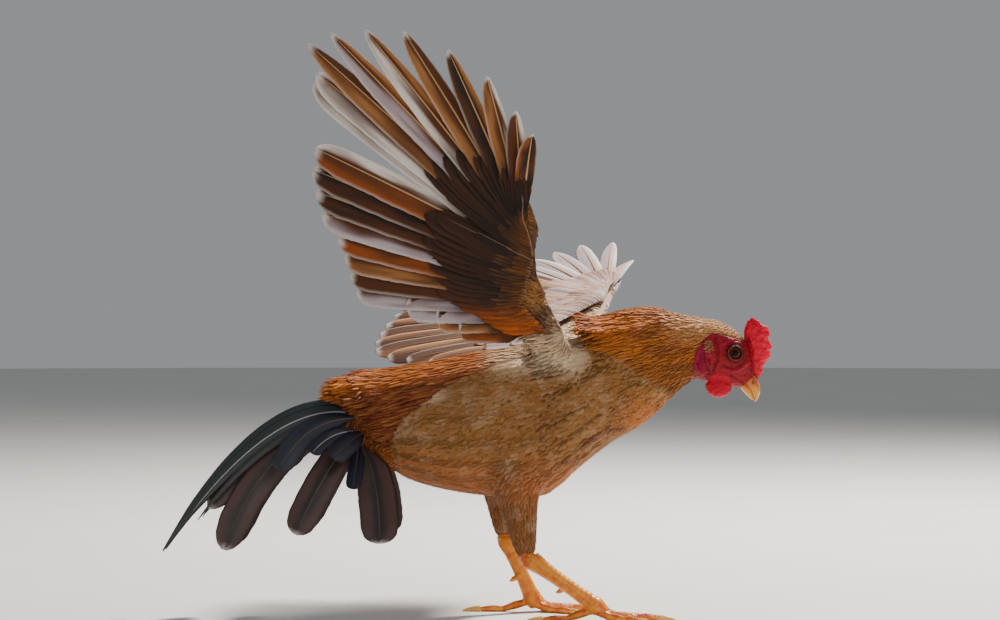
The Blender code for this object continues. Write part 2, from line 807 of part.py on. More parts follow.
def toe_rows(begin, flat, length, radius, joints):
    """Pads and waists of a toe, which comes down from the heart of the foot."""
    rows = []
    steps = 2 * joints
    for k in range(steps + 1):
        share = k / steps
        swell = 1.0 if k % 2 else TOE_WAIST
        half = radius * swell * (1 - TOE_TAPER * share)
        lift = TOE_ARCH * max(0, 1 - TOE_ARCH_END * share)
        place = begin + flat * length * share
        deep = half * TOE_DEPTH
        rows.append((place.x, place.y, deep * TOE_SINK + lift, deep, half))
    return rows


def make_claw(name, last, flat, claw, look):
    rows = []
    for share, drop, half in CLAW_ROWS:
        spot = last + flat * (SEAM + claw * share) - Z_AXIS * drop
        rows.append((spot.x, spot.y, max(half, spot.z * 0.5), half * CLAW_DEPTH, half))
    rings = limb_rings(rows, 8, flat.cross(Z_AXIS), 0.0)
    rings[0] = [p + flat * ((last + flat * SEAM - p).dot(flat)) for p in rings[0]]
    finish(loft("claw", rings), name, look)


def make_leg(name, leg, torso_cutter, looks):
    side = leg["side"]
    hip = Vector((leg["hip"][0], side * leg["hip"][1], leg["hip"][2]))
    hock = Vector((leg["hock"][0], side * leg["hock"][1], leg["hock"][2]))
    foot = Vector((leg["ball"][0], side * leg["ball"][1], leg["ball"][2]))
    down = (hock - hip).normalized()
    along = (foot - hock).normalized()
    start = hock + down * SEAM
    thigh = make_thigh(name, hip, hock, torso_cutter, looks["thigh"])
    shank = make_shank(name, side, start, foot, down, clearance(thigh), looks["shank"])

    end = start + (foot - start) * SHANK_ROWS[-1][0]
    rows = []
    for reach, depth, breadth in FOOT_ROWS:
        rows.append((*(end + along * reach), depth, breadth))
    heart = loft("foot", limb_rings(rows, 12, Y_AXIS, 0.0))
    toes = []
    for toe, turn, ahead, length, radius, claw in TOES:
        way = math.radians((leg["toe_turn"] + turn) * side)
        flat = Vector((math.cos(way), math.sin(way), 0))
        begin = Vector((foot.x, foot.y, 0)) + flat * ahead
        joints = HIND_JOINTS if toe == "hind" else TOE_JOINTS
        rows = toe_rows(begin, flat, length, radius, joints)
        toes.append(loft("toe", limb_rings(rows, 8, flat.cross(Z_AXIS), 0.0)))
        last = Vector(rows[-1][:3])
        make_claw("claw_" + name + "_" + toe, last, flat, claw, looks["claw"])
    combine(heart, toes, "UNION")
    combine(heart, [clearance(shank)], "DIFFERENCE")
    finish(heart, "foot_" + name, looks["shank"])


def wing_axes(wing):
    """The wing's plane: ahead, outward, and the side of its upper face."""
    side = wing["side"]
    lean = math.radians(wing["lean"])
    twist = math.radians(wing["twist"])
    out = Vector((0, side * math.cos(lean), math.sin(lean)))
    if wing["lean"] > 90:
        out = Vector((0, side * math.cos(math.pi - lean), math.sin(lean)))
    above = X_AXIS.cross(out) * side
    ahead = X_AXIS * math.cos(twist) + above * math.sin(twist)
    above = ahead.cross(out) * side
    return Vector(wing["shoulder"]), ahead, out, above


def arm_rings(wing):
    """Rings of the arm and the web of skin ahead of it, from the body out."""
    shoulder, ahead, out, above = wing_axes(wing)
    rings = []
    for row in smooth(wing["arm"], 2):
        front = shoulder + ahead * row[0] + out * row[1]
        rear = shoulder + ahead * row[2] + out * row[3]
        middle = rear.lerp(front, 0.5)
        sunk = above * row[5]
        ring = []
        for j in range(ARM_SIDES):
            angle = 2 * math.pi * (j + 0.5) / ARM_SIDES
            full = 1 - ARM_REAR_FULLNESS * math.cos(angle)
            ring.append(
                middle + sunk + (front - middle) * math.cos(angle)
                + above * row[4] * math.sin(angle) * full
            )
        rings.append(ring)
    return rings


def make_wing(name, wing, torso_cutter, look):
    shoulder, ahead, out, above = wing_axes(wing)

    def place(a, b, c=0.0):
        return shoulder + ahead * a + out * b + above * c

    arm = loft("arm", arm_rings(wing))
    pieces = []
    tilt = math.radians(BLIND_TILT)

    def quill(root, angle, length, width, profile, lead, rise, tier, bow):
        way = ahead * math.cos(angle) + out * math.sin(angle)
        leading = ahead * math.sin(angle) - out * math.cos(angle)
        face = above * math.cos(tilt) - leading * math.sin(tilt)
        face = face * wing["side"]
        start = place(*root, tier)
        tip = start + way * length + above * rise
        pieces.append(vane(bent_path(start, tip, above * bow), face, width, profile, lead))

    hand_tip = np.array(wing["hand_tip"])
    wrist = np.array(wing["wrist"])
    elbow = np.array(wing["elbow"])
    armpit = np.array(wing["armpit"])

    def primary(share):
        """Root, angle and length of a primary, from the wrist out."""
        near, far = wing["primary_angles"]
        root = wrist + (hand_tip - wrist) * share
        angle = math.radians(near + (far - near) * share**FAN_POWER)
        lengths = wing["primary_lengths"]
        return root, angle, np.interp(share * 9, range(10), lengths)

    def secondary(share):
        """The same of a secondary, from the wrist in."""
        near, far = wing["secondary_angles"]
        if share <= ELBOW_SHARE:
            root = wrist + (elbow - wrist) * (FOREARM_START + share / FOREARM_SPREAD)
        else:
            root = elbow + (armpit - elbow) * (share - ELBOW_SHARE) * UPPER_ARM_SPREAD
        angle = math.radians(near + (far - near) * min(1, SECONDARY_FAN * share))
        lengths = wing["secondary_lengths"]
        return root, angle, np.interp(share * 10, range(11), lengths)

    for k in range(PRIMARIES):
        share = k / (PRIMARIES - 1)
        root, angle, length = primary(share)
        rise = -wing["outer_bend"] * length * share**2
        width = PRIMARY_WIDTH * (1 - HAND_NARROWING * share)
        quill(root, angle, length, width, FLIGHT_PROFILE, PRIMARY_LEAD, rise, 0.0, CAMBER)
    for k in range(SECONDARIES):
        root, angle, length = secondary(k / (SECONDARIES - 1))
        quill(root, angle, length, SECONDARY_WIDTH, FLIGHT_PROFILE, SECONDARY_LEAD, 0.0, 0.0,
              CAMBER)
    for part, width, near_off, far_off, count in COVERT_TIERS:
        for face in (-1, 1):
            stand = face * (far_off - near_off) + CAMBER * (1 - TIP_CAMBER_LOSS)
            for k in range(count):
                share = (k + COVERT_START[0]) / count
                root, angle, length = primary(share)
                rise = stand - wing["outer_bend"] * length * share**2 * part
                narrow = width * (1 - COVERT_NARROWING * share)
                quill(root, angle, length * part, narrow, COVERT_PROFILE, COVERT_LEAD, rise,
                      face * near_off, 0.0)
                root, angle, length = secondary((k + COVERT_START[1]) / count)
                quill(root, angle, length * part, width, COVERT_PROFILE, COVERT_LEAD, stand,
                      face * near_off, 0.0)
    combine(arm, pieces, "UNION")
    combine(arm, [torso_cutter()], "DIFFERENCE")
    return finish(arm, "wing_" + name, look)


def centre_on_floor():
    """Moves the bird so that the middle of its box stands over the origin."""
    items = [item for item in bpy.data.objects if item.type == "MESH"]
    spots = np.array([v.co for item in items for v in item.data.vertices])
    middle = (spots.min(axis=0) + spots.max(axis=0)) / 2
    for item in items:
        for v in item.data.vertices:
            v.co.x -= middle[0]
            v.co.y -= middle[1]


def main():
    clear_scene()
    looks = {
        "body": material("buff_feathers", (0.30, 0.16, 0.06)),
        "hackle": material("golden_hackle", (0.50, 0.20, 0.05)),
        "face": material("crimson_skin", (0.42, 0.03, 0.04), 0.55),
        "comb": material("red_comb", (0.70, 0.02, 0.03), 0.5),
        "lobe": material("purple_lobe", (0.30, 0.03, 0.07), 0.55),
        "beak": material("yellow_horn", (0.60, 0.26, 0.07), 0.4),
        "eye": material("brown_eye", (0.05, 0.02, 0.02), 0.1),
        "tail": material("black_tail", (0.02, 0.015, 0.015), 0.45),
        "wing": material("brown_flight_feathers", (0.22, 0.10, 0.05)),
        "thigh": material("buff_thigh", (0.32, 0.17, 0.07)),
        "shank": material("orange_scales", (0.62, 0.24, 0.05), 0.5),
        "claw": material("yellow_claw", (0.70, 0.42, 0.12), 0.4),
    }
    torso_rings, neck_rings, head_rings = body_rings()

    def torso_cutter():
        return loft("torso_clearance", grown_rings(torso_rings, GROW))

    def head_cutter():
        return loft("head_clearance", grown_rings(head_rings, GROW))

    def neck_cutter():
        return loft("neck_clearance", grown_rings(neck_rings, GROW))

    make_torso(torso_rings, looks["body"])
    make_neck(neck_rings, torso_cutter, looks["hackle"])
    make_head(head_rings, looks["face"])
    make_eyes(looks["eye"])
    make_comb(head_cutter, looks["comb"])
    make_wattles((head_cutter, neck_cutter), looks["comb"])
    make_ears((head_cutter, neck_cutter), looks["lobe"])
    make_beak(head_rings, looks["beak"])
    make_tail(torso_cutter, looks["tail"])
    for name, leg in LEGS.items():
        make_leg(name, leg, torso_cutter, looks)
    for name, wing in WINGS.items():
        make_wing(name, wing, torso_cutter, looks["wing"])
    centre_on_floor()


main()
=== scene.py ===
import bpy
import bmesh
import math
import numpy as np
from mathutils import Matrix, Vector, noise
from mathutils.bvhtree import BVHTree


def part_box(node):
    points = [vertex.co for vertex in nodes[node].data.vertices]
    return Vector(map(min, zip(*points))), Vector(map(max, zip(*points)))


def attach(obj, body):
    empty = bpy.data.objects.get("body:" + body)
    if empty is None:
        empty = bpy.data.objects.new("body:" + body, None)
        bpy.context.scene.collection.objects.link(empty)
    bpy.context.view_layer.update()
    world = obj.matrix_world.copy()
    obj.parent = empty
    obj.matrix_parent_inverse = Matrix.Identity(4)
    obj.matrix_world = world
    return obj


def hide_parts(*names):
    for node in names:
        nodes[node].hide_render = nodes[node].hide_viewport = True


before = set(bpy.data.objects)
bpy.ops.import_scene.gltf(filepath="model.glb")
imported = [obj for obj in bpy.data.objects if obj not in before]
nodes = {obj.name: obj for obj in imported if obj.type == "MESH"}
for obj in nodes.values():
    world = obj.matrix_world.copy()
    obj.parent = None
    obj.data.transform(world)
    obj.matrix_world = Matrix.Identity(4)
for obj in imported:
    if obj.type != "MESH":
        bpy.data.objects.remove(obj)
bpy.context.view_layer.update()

# Everything is modelled in millimetres in the bird's own frame: it looks along +X, and
# the side toward the camera is -Y. settle() then moves each mesh to its real place.
eyeLow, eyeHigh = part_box("eye_right")
shiftX = (eyeLow.x + eyeHigh.x) / 2 - 0.156
shiftY = (eyeLow.y + eyeHigh.y) / 2 + 0.0089
toWorld = Matrix.Translation((shiftX, shiftY, 0)) @ Matrix.Scale(0.001, 4)
toBird = toWorld.inverted()

toneLook = {"fullness": 1.32, "depth": 0.80}


def rgb(red, green, blue):
    # screen colour to linear, a little fuller and deeper than it looks in the sun
    linear = [(v / 255) ** 2.2 for v in (red, green, blue)]
    grey = sum(linear) / 3
    return tuple(max(0.0, grey + (v - grey) * toneLook["fullness"]) * toneLook["depth"] for v in linear)


def blendRgb(first, second, share):
    share = max(0.0, min(1.0, share))
    return tuple(a + (b - a) * share for a, b in zip(first, second))


def ramp(value, low, high):
    # 0 below low, 1 above high, smooth between
    share = max(0.0, min(1.0, (value - low) / (high - low)))
    return share * share * (3 - 2 * share)


def meshFrom(bm, name):
    mesh = bpy.data.meshes.new(name)
    bm.to_mesh(mesh)
    bm.free()
    return mesh


def linked(name, data):
    piece = bpy.data.objects.new(name, data)
    bpy.context.scene.collection.objects.link(piece)
    return piece


def settle(bm, name, materials):
    # the finished mesh, at its place in the frame
    mesh = meshFrom(bm, name)
    mesh.transform(toWorld)
    for material in materials:
        mesh.materials.append(material)
    mesh.shade_smooth()
    piece = linked(name, mesh)
    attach(piece, "root")
    return piece


def relax(bm, verts, rounds, factor=0.5):
    for k in range(rounds):
        bmesh.ops.smooth_vert(bm, verts=verts, factor=factor,
                              use_axis_x=True, use_axis_y=True, use_axis_z=True)


def tintOn(bm):
    return bm.verts.layers.float_color.new("tint")


class Wire:
    # a shader socket that can stand in a sum or a product
    def __init__(self, paint, socket):
        self.paint = paint
        self.socket = socket

    def __add__(self, other):
        return self.paint.node("ShaderNodeMath", {"operation": "ADD"}, {0: self, 1: other})

    def __mul__(self, other):
        return self.paint.node("ShaderNodeMath", {"operation": "MULTIPLY"}, {0: self, 1: other})


class Paint:
    # one material and the few ways its nodes are made
    def __init__(self, name, fixed):
        self.material = bpy.data.materials.new(name)
        self.material.use_nodes = True
        self.tree = self.material.node_tree
        self.shader = self.tree.nodes["Principled BSDF"]
        for key, value in fixed.items():
            self.shader.inputs[key].default_value = value

    def node(self, kind, settings=None, links=None, out=0):
        made = self.tree.nodes.new(kind)
        for key, value in (settings or {}).items():
            setattr(made, key, value)
        for key, value in (links or {}).items():
            if isinstance(value, Wire):
                self.tree.links.new(value.socket, made.inputs[key])
            else:
                made.inputs[key].default_value = value
        return Wire(self, made.outputs[out])

    def place(self, scale=(1, 1, 1)):
        spots = self.node("ShaderNodeTexCoord", out=3)
        return self.node("ShaderNodeMapping", None, {0: spots, 3: scale})

    def grain(self, where, scale, detail=3.0):
        return self.node("ShaderNodeTexNoise", None,
                         {"Vector": where, "Scale": scale, "Detail": detail, "Roughness": 0.55})

    def cells(self, where, scale, feature="F1"):
        return self.node("ShaderNodeTexVoronoi", {"feature": feature}, {"Vector": where, "Scale": scale})

    def spread(self, wire, low, high, out0=0.0, out1=1.0):
        return self.node("ShaderNodeMapRange", None, {0: wire, 1: low, 2: high, 3: out0, 4: out1})

    def mix(self, share, first, second):
        first = first if isinstance(first, Wire) else (*first, 1)
        second = second if isinstance(second, Wire) else (*second, 1)
        return self.node("ShaderNodeMix", {"data_type": "RGBA"},
                         {0: share, 6: first, 7: second}, out=2)

    def tint(self):
        return self.node("ShaderNodeAttribute", {"attribute_name": "tint"})

    def colour(self, wire):
        self.tree.links.new(wire.socket, self.shader.inputs["Base Color"])

    def relief(self, height, strength, distance):
        bump = self.node("ShaderNodeBump", None,
                         {"Strength": strength, "Distance": distance, "Height": height})
        self.tree.links.new(bump.socket, self.shader.inputs["Normal"])


# Skins cast over the CAD nodes

def castOver(names, voxel, grow, rounds, shrink, extra=()):
    # copies of the nodes are merged, grown until they meet, remeshed and relaxed
    bm = bmesh.new()
    for name in names:
        part = bmesh.new()
        part.from_mesh(nodes[name].data)
        bmesh.ops.transform(part, matrix=toBird, verts=part.verts)
        bmesh.ops.remove_doubles(part, verts=part.verts, dist=0.001)
        part.normal_update()
        for vert in part.verts:
            vert.co += vert.normal * grow
        lump = meshFrom(part, name)
        bm.from_mesh(lump)
        bpy.data.meshes.remove(lump)
    for mesh in extra:
        bm.from_mesh(mesh)
    piece = linked("cast", meshFrom(bm, "cast"))
    remesh = piece.modifiers.new("remesh", "REMESH")
    remesh.mode = "VOXEL"
    remesh.voxel_size = voxel
    done = bpy.data.meshes.new_from_object(piece.evaluated_get(bpy.context.evaluated_depsgraph_get()))
    bpy.data.objects.remove(piece)
    bm = bmesh.new()
    bm.from_mesh(done)
    relax(bm, bm.verts, rounds)
    bm.normal_update()
    for vert in bm.verts:
        vert.co -= vert.normal * (shrink + grow)
    bmesh.ops.recalc_face_normals(bm, faces=bm.faces)
    return bm


def limb(bm, stations, sides=14):
    # circles set across the stations, bridged into a tube
    loops = []
    for centre, across, up in stations:
        turn = Matrix((across, up, across.cross(up).normalized())).transposed().to_4x4()
        made = bmesh.ops.create_circle(bm, segments=sides, radius=1.0,
                                       matrix=Matrix.Translation(centre) @ turn)
        loops.append(made["verts"])
    rims = []
    for verts in loops:
        ring = set(verts)
        rims.append([e for e in {e for v in verts for e in v.link_edges} if set(e.verts) <= ring])
    for first, second in zip(rims, rims[1:]):
        bmesh.ops.bridge_loops(bm, edges=first + second)
    for end in (loops[0], loops[-1]):
        bmesh.ops.contextual_create(bm, geom=end)
    return loops


# Layout of the wings, as in the part's source

wings = {
    "right": {
        "side": -1, "shoulder": (60, -32, 156), "lean": 104, "twist": 0,
        "handTip": (-28.5, 85), "wrist": (-26, 60), "elbow": (-34, 30), "armpit": (-16, 10),
        "primaryAngles": (141, 83), "secondaryAngles": (153, 177), "bend": 0.22,
        "primaries": (154, 154, 167, 160, 147, 132, 109, 85, 60, 44),
        "secondaries": (134, 131, 125, 118, 106, 100, 95, 90, 66, 54, 46),
        "arm": ((6, -18, -20, -18, 10, 14), (4, -4, -22, -4, 9.5, 7), (0, 10, -27, 8, 8, 2),
                (-9, 28, -38, 24, 6.2, 0), (-18, 46, -36, 42, 4.8, 0), (-19, 60, -31, 57, 4.6, 0),
                (-17, 74, -31, 70, 4.2, 0), (-21, 86, -32, 82, 3.2, 0), (-26, 97, -31, 94, 1.6, 0)),
    },
    "left": {
        "side": 1, "shoulder": (56, 30, 154), "lean": 20, "twist": 7,
        "handTip": (32, 100), "wrist": (24, 74), "elbow": (-5, 40), "armpit": (-12, 8),
        "primaryAngles": (136, 75), "secondaryAngles": (146, 182), "bend": 0.05,
        "primaries": (138, 134, 122, 110, 104, 104, 108, 113, 110, 66),
        "secondaries": (134, 130, 126, 123, 121, 118, 115, 110, 100, 86, 70),
        "arm": ((16, -18, -16, -18, 10, -8), (18, -4, -16, -4, 9.5, -4), (20, 10, -17, 10, 8, -1),
                (25, 32, -14, 33, 6.2, 0), (30, 54, 2, 56, 4.8, 0), (32, 70, 16, 74, 4.6, 0),
                (35, 84, 22, 88, 4.2, 0), (37, 97, 27, 100, 3.0, 0), (38, 107, 32, 109, 1.6, 0)),
    },
}


def wingAxes(wing):
    lean = math.radians(wing["lean"])
    flat = math.cos(math.pi - lean) if wing["lean"] > 90 else math.cos(lean)
    out = Vector((0, wing["side"] * flat, math.sin(lean)))
    above = Vector((1, 0, 0)).cross(out) * wing["side"]
    twist = math.radians(wing["twist"])
    ahead = Vector((1, 0, 0)) * math.cos(twist) + above * math.sin(twist)
    above = ahead.cross(out) * wing["side"]
    return ahead, out, above


def wingSpot(wing, x, y, rise=0.0):
    ahead, out, above = wingAxes(wing)
    return Vector(wing["shoulder"]) + ahead * x + out * y + above * rise


def armMesh(wing):
    above = wingAxes(wing)[2]
    bm = bmesh.new()
    stations = []
    for frontX, frontY, rearX, rearY, half, rise in wing["arm"]:
        front = wingSpot(wing, frontX, frontY, rise)
        rear = wingSpot(wing, rearX, rearY, rise)
        stations.append(((front + rear) / 2, (rear - front) / 2, above * half * 0.9))
    limb(bm, stations, 16)
    bmesh.ops.recalc_face_normals(bm, faces=bm.faces)
    return meshFrom(bm, "arm")


def quillStart(wing, kind, share):
    # root, direction and length of one flight feather; share is 0 at the wrist
    tip, wrist = Vector(wing["handTip"]), Vector(wing["wrist"])
    elbow, armpit = Vector(wing["elbow"]), Vector(wing["armpit"])
    if kind == "primary":
        root = wrist.lerp(tip, share)
        near, far = wing["primaryAngles"]
        angle = near + (far - near) * share ** 1.8
        length = np.interp(share * 9, range(10), wing["primaries"])
    else:
        root = elbow.lerp(armpit, (share - 0.7) * 2.8)
        if share <= 0.7:
            root = wrist.lerp(elbow, 0.06 + share / 0.75)
        near, far = wing["secondaryAngles"]
        angle = near + (far - near) * min(1, 1.35 * share)
        length = np.interp(share * 10, range(11), wing["secondaries"])
    return root, math.radians(angle), float(length)


print("set out", round(shiftX, 5), round(shiftY, 5))

# Skin over the whole body, arms and head included, so that nothing gapes under the coat

buff, belly, gold, rust = rgb(140, 98, 62), rgb(188, 122, 88), rgb(210, 126, 72), rgb(108, 46, 20)
crown, cream, salmon, umber = rgb(222, 174, 136), rgb(250, 228, 200), rgb(190, 114, 70), rgb(84, 48, 30)
coatLines = {
    # where one kind of feather gives way to the next, and the line of the painted crease shadow, as x and z
    "saddle": ((-41, -34, -21, -3, 25, 45), (100, 117, 128, 140, 150, 157)),
    "cape": ((66, 74, 95, 112, 130), (172, 165.4, 153.7, 141, 127.4)),
    "bare": ((130, 136, 151, 158, 163, 166, 168.4), (129, 130, 131.1, 133.2, 136.4, 140.5, 147)),
    "creaseShadow": ((66.8, 72.6, 82, 91.3), (95.8, 105.1, 112, 113.3)),
}


def wobble(spot, scale, offset=0.0):
    return noise.noise(Vector((spot[0] * scale + offset, spot[1] * scale, spot[2] * scale)))


def onArm(spot):
    # the wing whose arm a place is on, with how far ahead, out and up it is there
    for name, wing in wings.items():
        ahead, out, above = wingAxes(wing)
        off = Vector(spot) - Vector(wing["shoulder"])
        a, b, c = off.dot(ahead), off.dot(out), off.dot(above)
        if b > 11 and abs(c) < 16 and a < 46 and (a < 10 or name == "left"):
            return name, a, b, c
    return None


def onSaddle(x, z):
    line = float(np.interp(x, *coatLines["saddle"]))
    return x < -41 or (x < 60 and z > line)


def onCape(x, z):
    return x > 66 and z > float(np.interp(x, *coatLines["cape"]))


def bareHead(x, z):
    # the naked face ends along this line
    edge = float(np.interp(z, *coatLines["bare"]))
    return x > edge and z < 169.5 - (x - 138) * 0.3


def faceBare(x, z):
    # 1 well inside the naked face, 0 well outside
    edge = float(np.interp(z, *coatLines["bare"]))
    return ramp(min(x - edge, (169.5 - (x - 138) * 0.3 - z) * 1.5), -1.2, 1.4)


skinLook = {"voxel": 1.15, "grow": 0.45, "rounds": 9, "depth": 1.3,
            "jointRounds": 90, "lift": 0.9, "drawnIn": 0.3}
rumpLook = {"top": ((-88, -80, -72, -62, -54, -44), (131.5, 135.5, 139.5, 142.8, 144.8, 148)),
            "half": ((-88, -76, -62, -50, -44), (11, 19, 26, 31, 36)), "rounds": 14,
            # stations of its core: x, z, half breadth, half height
            "core": ((-10, 132, 14, 20.5), (-25, 131.5, 14, 19.5), (-40, 130, 15, 19), (-56, 128, 14, 18),
                     (-66, 127.5, 12, 16), (-75, 128.5, 9, 10.5), (-83, 130, 5, 5))}
arms = [armMesh(wing) for wing in wings.values()]
rumpBm = bmesh.new()
limb(rumpBm, [(Vector((x, 0, z)), Vector((0, out, 0)), Vector((0, 0, up))) for x, z, out, up in
              rumpLook["core"]])
bmesh.ops.create_uvsphere(rumpBm, u_segments=20, v_segments=14, radius=1.0,
                          matrix=Matrix.Translation((-60, 0, 110)) @ Matrix.Diagonal((13, 12.5, 15.5, 1)))
rump = meshFrom(rumpBm, "rump")
skinBm = castOver(["torso", "neck", "head", "thigh_right", "thigh_left"],
                  skinLook["voxel"], skinLook["grow"], skinLook["rounds"], skinLook["depth"], arms + [rump])
# steps where one node meets the next are smoothed away, and the crown is lifted for its thin coat
joints = [v for v in skinBm.verts
          if 114 < v.co.x < 144 or (44 < v.co.x < 96 and v.co.z > 142) or v.co.x < -38]
relax(skinBm, joints, skinLook["jointRounds"], 0.6)
skinBm.normal_update()
for vert in skinBm.verts:
    # under the naked face it draws back toward the head's middle
    under = faceBare(vert.co.x - 2.4, vert.co.z + 1.8) if vert.co.x > 126 else 0.0
    raised = ramp(vert.co.x, 122, 136) * (1 - under) + ramp(-vert.co.x, 42, 56)
    vert.co += vert.normal * skinLook["lift"] * raised
    vert.co = vert.co.lerp(Vector((150, 0, 153)), skinLook["drawnIn"] * under)
for vert in skinBm.verts:
    # the rump narrows and falls toward the tail
    if vert.co.x < -44:
        vert.co.z = min(vert.co.z, float(np.interp(vert.co.x, *rumpLook["top"])))
        half = float(np.interp(vert.co.x, *rumpLook["half"]))
        vert.co.y = max(-half, min(half, vert.co.y))
relax(skinBm, [v for v in skinBm.verts if v.co.x < -46], rumpLook["rounds"])
skinBm.normal_update()
print("skin", len(skinBm.faces))


def bodyShade(spot):
    # plumage colour at a place on the bird, with painted highlights and a painted crease shadow laid in
    x, y, z = spot
    patch, streak = wobble(spot, 0.045), wobble((x * 0.25, y, z), 0.16, 7)
    shade = blendRgb(belly, buff, ramp(z + 12 * patch, 74, 106))
    shade = blendRgb(shade, umber, 0.24 * ramp(patch, 0.0, 0.5))
    if 4 < x < 66:
        shade = blendRgb(shade, rgb(124, 84, 52), 0.7 * ramp(-z, -78, -68))
    # painted highlight: a soft cream spot high on the rear flank
    shade = blendRgb(shade, cream, 0.5 * math.exp(-((x + 16) / 9) ** 2 - ((z - 134) / 4) ** 2))
    shade = blendRgb(shade, cream, 0.16 * ramp(wobble(spot, 0.12, 3), 0.0, 0.6))
    arm = onArm(spot)
    if arm:
        name, a, b, c = arm
        under = c * (1 if name == "right" else -1) < 0
        # painted highlight: the leading web of the arm turns cream along its lit edge
        web = ramp(a, -12 - b * 0.12, 0 - b * 0.12)
        shade = blendRgb(rgb(146, 102, 66), cream, web * 0.7)
        return blendRgb(shade, rgb(52, 36, 30), (1 - web) * ramp(patch + 0.25, 0.0, 0.5) * 0.8)
    # painted highlight: cream over the top of the shoulders and back, where the sun falls
    shoulder = ramp(x, 10, 32) * ramp(-x, -80, -66) * ramp(z, 138, 154)
    if onCape(x, z):
        deep = ramp(streak, -0.05, 0.4)
        shade = blendRgb(gold, rust, 0.15 + 0.55 * deep)
        shade = blendRgb(shade, rgb(112, 72, 42), 0.65 * (1 - ramp(z, 138, 164)))
        return blendRgb(shade, crown, ramp(x, 112, 132) * ramp(z, 156, 172))
    if onSaddle(x, z):
        top = ramp(z - float(np.interp(x, (-70, -20, 60), (137, 150, 164))), -13, 0)
        shade = blendRgb(blendRgb(rust, salmon, 1 - ramp(z, 88, 106)), gold, 0.02 + 0.85 * top + 0.3 * streak)
        # cream painted highlight over the shoulders
        return blendRgb(shade, cream, shoulder * 0.9)
    shade = blendRgb(shade, salmon, ramp(x, 84, 112) * (1 - ramp(z, 118, 140)))
    # painted shadow: a dark line along the crease in the breast feathers
    if 60 < x < 96:
        gap = abs(z - float(np.interp(x, *coatLines["creaseShadow"])))
        shade = blendRgb(shade, rgb(96, 44, 38), (1 - ramp(gap, 0.4, 1.7)) * 0.9)
    # cream painted highlight over the shoulders
    return blendRgb(shade, cream, shoulder * 0.7)


# Feathers of wing and tail, each a grid laid along its own shaft

featherPaint = Paint("flight_vane", {"Roughness": 0.6, "Specular IOR Level": 0.2})
across = featherPaint.node("ShaderNodeUVMap", {"uv_map": "barbs"})
barbs = featherPaint.node("ShaderNodeTexWave", {"wave_type": "BANDS", "bands_direction": "Y"},
                          {"Vector": across, "Scale": 16.0, "Distortion": 1.2,
                           "Detail": 2.0, "Detail Scale": 2.0})
stretched = featherPaint.node("ShaderNodeMapping", None, {0: across, 3: (9, 1.3, 1)})
streaks = featherPaint.grain(stretched, 5.0, 4.0)
vaneTint = featherPaint.tint()
streaked = featherPaint.mix(featherPaint.spread(streaks, 0.35, 0.7, 0.0, 0.5), vaneTint,
                            featherPaint.mix(0.6, vaneTint, (0.02, 0.012, 0.01)))
barbTint = featherPaint.mix(0.07, streaked, (0.9, 0.82, 0.74))
featherPaint.colour(featherPaint.mix(barbs * 0.2, streaked, barbTint))
featherPaint.relief(barbs, 0.3, 0.0002)

shaftPaint = Paint("quill_shaft", {"Roughness": 0.38, "Coat Weight": 0.15})
shaftGrain = shaftPaint.grain(shaftPaint.place((300, 300, 300)), 3.0)
shaftTint = shaftPaint.tint()
shaftPaint.colour(shaftPaint.mix(shaftGrain, shaftTint, shaftPaint.mix(0.5, shaftTint, (0.25, 0.16, 0.1))))


shaftSteps = [step / 24 for step in range(25)]


def featherLayers(bm):
    return tintOn(bm), bm.loops.layers.uv.new("barbs")


def vaneInto(bm, layers, path, face, width, lead, profile, shade, plan, seed=0):
    # barbs lean to the tip, and the edges are a little ragged
    tintLayer, uvLayer = layers
    rows, columns = plan["rows"], plan["columns"]
    rng = np.random.default_rng(seed)
    ragged = 1 - plan["ragged"] * rng.random((2, rows + 1))
    ragged[:, 1:] = (ragged[:, 1:] + ragged[:, :-1]) / 2
    places, parts = [p[0] for p in profile], [p[1] for p in profile]
    count = len(path) - 1
    made = bmesh.ops.create_grid(bm, x_segments=columns, y_segments=rows, size=0.5)
    faces = {f for v in made["verts"] for f in v.link_faces}
    spots = {}
    length = sum((b - a).length for a, b in zip(path, path[1:]))
    for vert in made["verts"]:
        u, s = vert.co.x * 2, vert.co.y + 0.5
        at = s * count
        k = min(int(at), count - 1)
        middle = path[k].lerp(path[k + 1], at - k)
        ahead = (path[k + 1] - path[k]).normalized()
        outward = ahead.cross(face).normalized()
        above = outward.cross(ahead)
        share = lead if u < 0 else 1 - lead
        wide = width * share * float(np.interp(s, places, parts))
        row = int(round(s * rows))
        wide *= 1 - u * u * (1 - ragged[0 if u < 0 else 1, row])
        lean = plan["lean"] * abs(u) * wide * (1 - s ** 4)
        vert.co = middle + outward * u * wide + ahead * lean - above * plan["cup"] * u * u * wide
        vert[tintLayer] = (*shade(s, u), 1)
        spots[vert] = (u * wide / 10, s * length / 10)
    for item in faces:
        for loop in item.loops:
            loop[uvLayer].uv = spots[loop.vert]


def shaftInto(bm, layers, path, face, thick, shade):
    stations = []
    for k, middle in enumerate(path):
        ahead = (path[min(k + 1, len(path) - 1)] - path[max(k - 1, 0)]).normalized()
        outward = ahead.cross(face).normalized()
        half = thick * (1 - 0.85 * k / (len(path) - 1))
        stations.append((middle, outward * half, outward.cross(ahead) * half * 0.9))
    for ring in limb(bm, stations, 6):
        for vert in ring:
            vert[layers[0]] = (*shade, 1)
            for item in vert.link_faces:
                item.material_index = 1


def thinSheet(piece, thick):
    wall = piece.modifiers.new("wall", "SOLIDIFY")
    wall.thickness = thick * 0.001
    wall.offset = 0


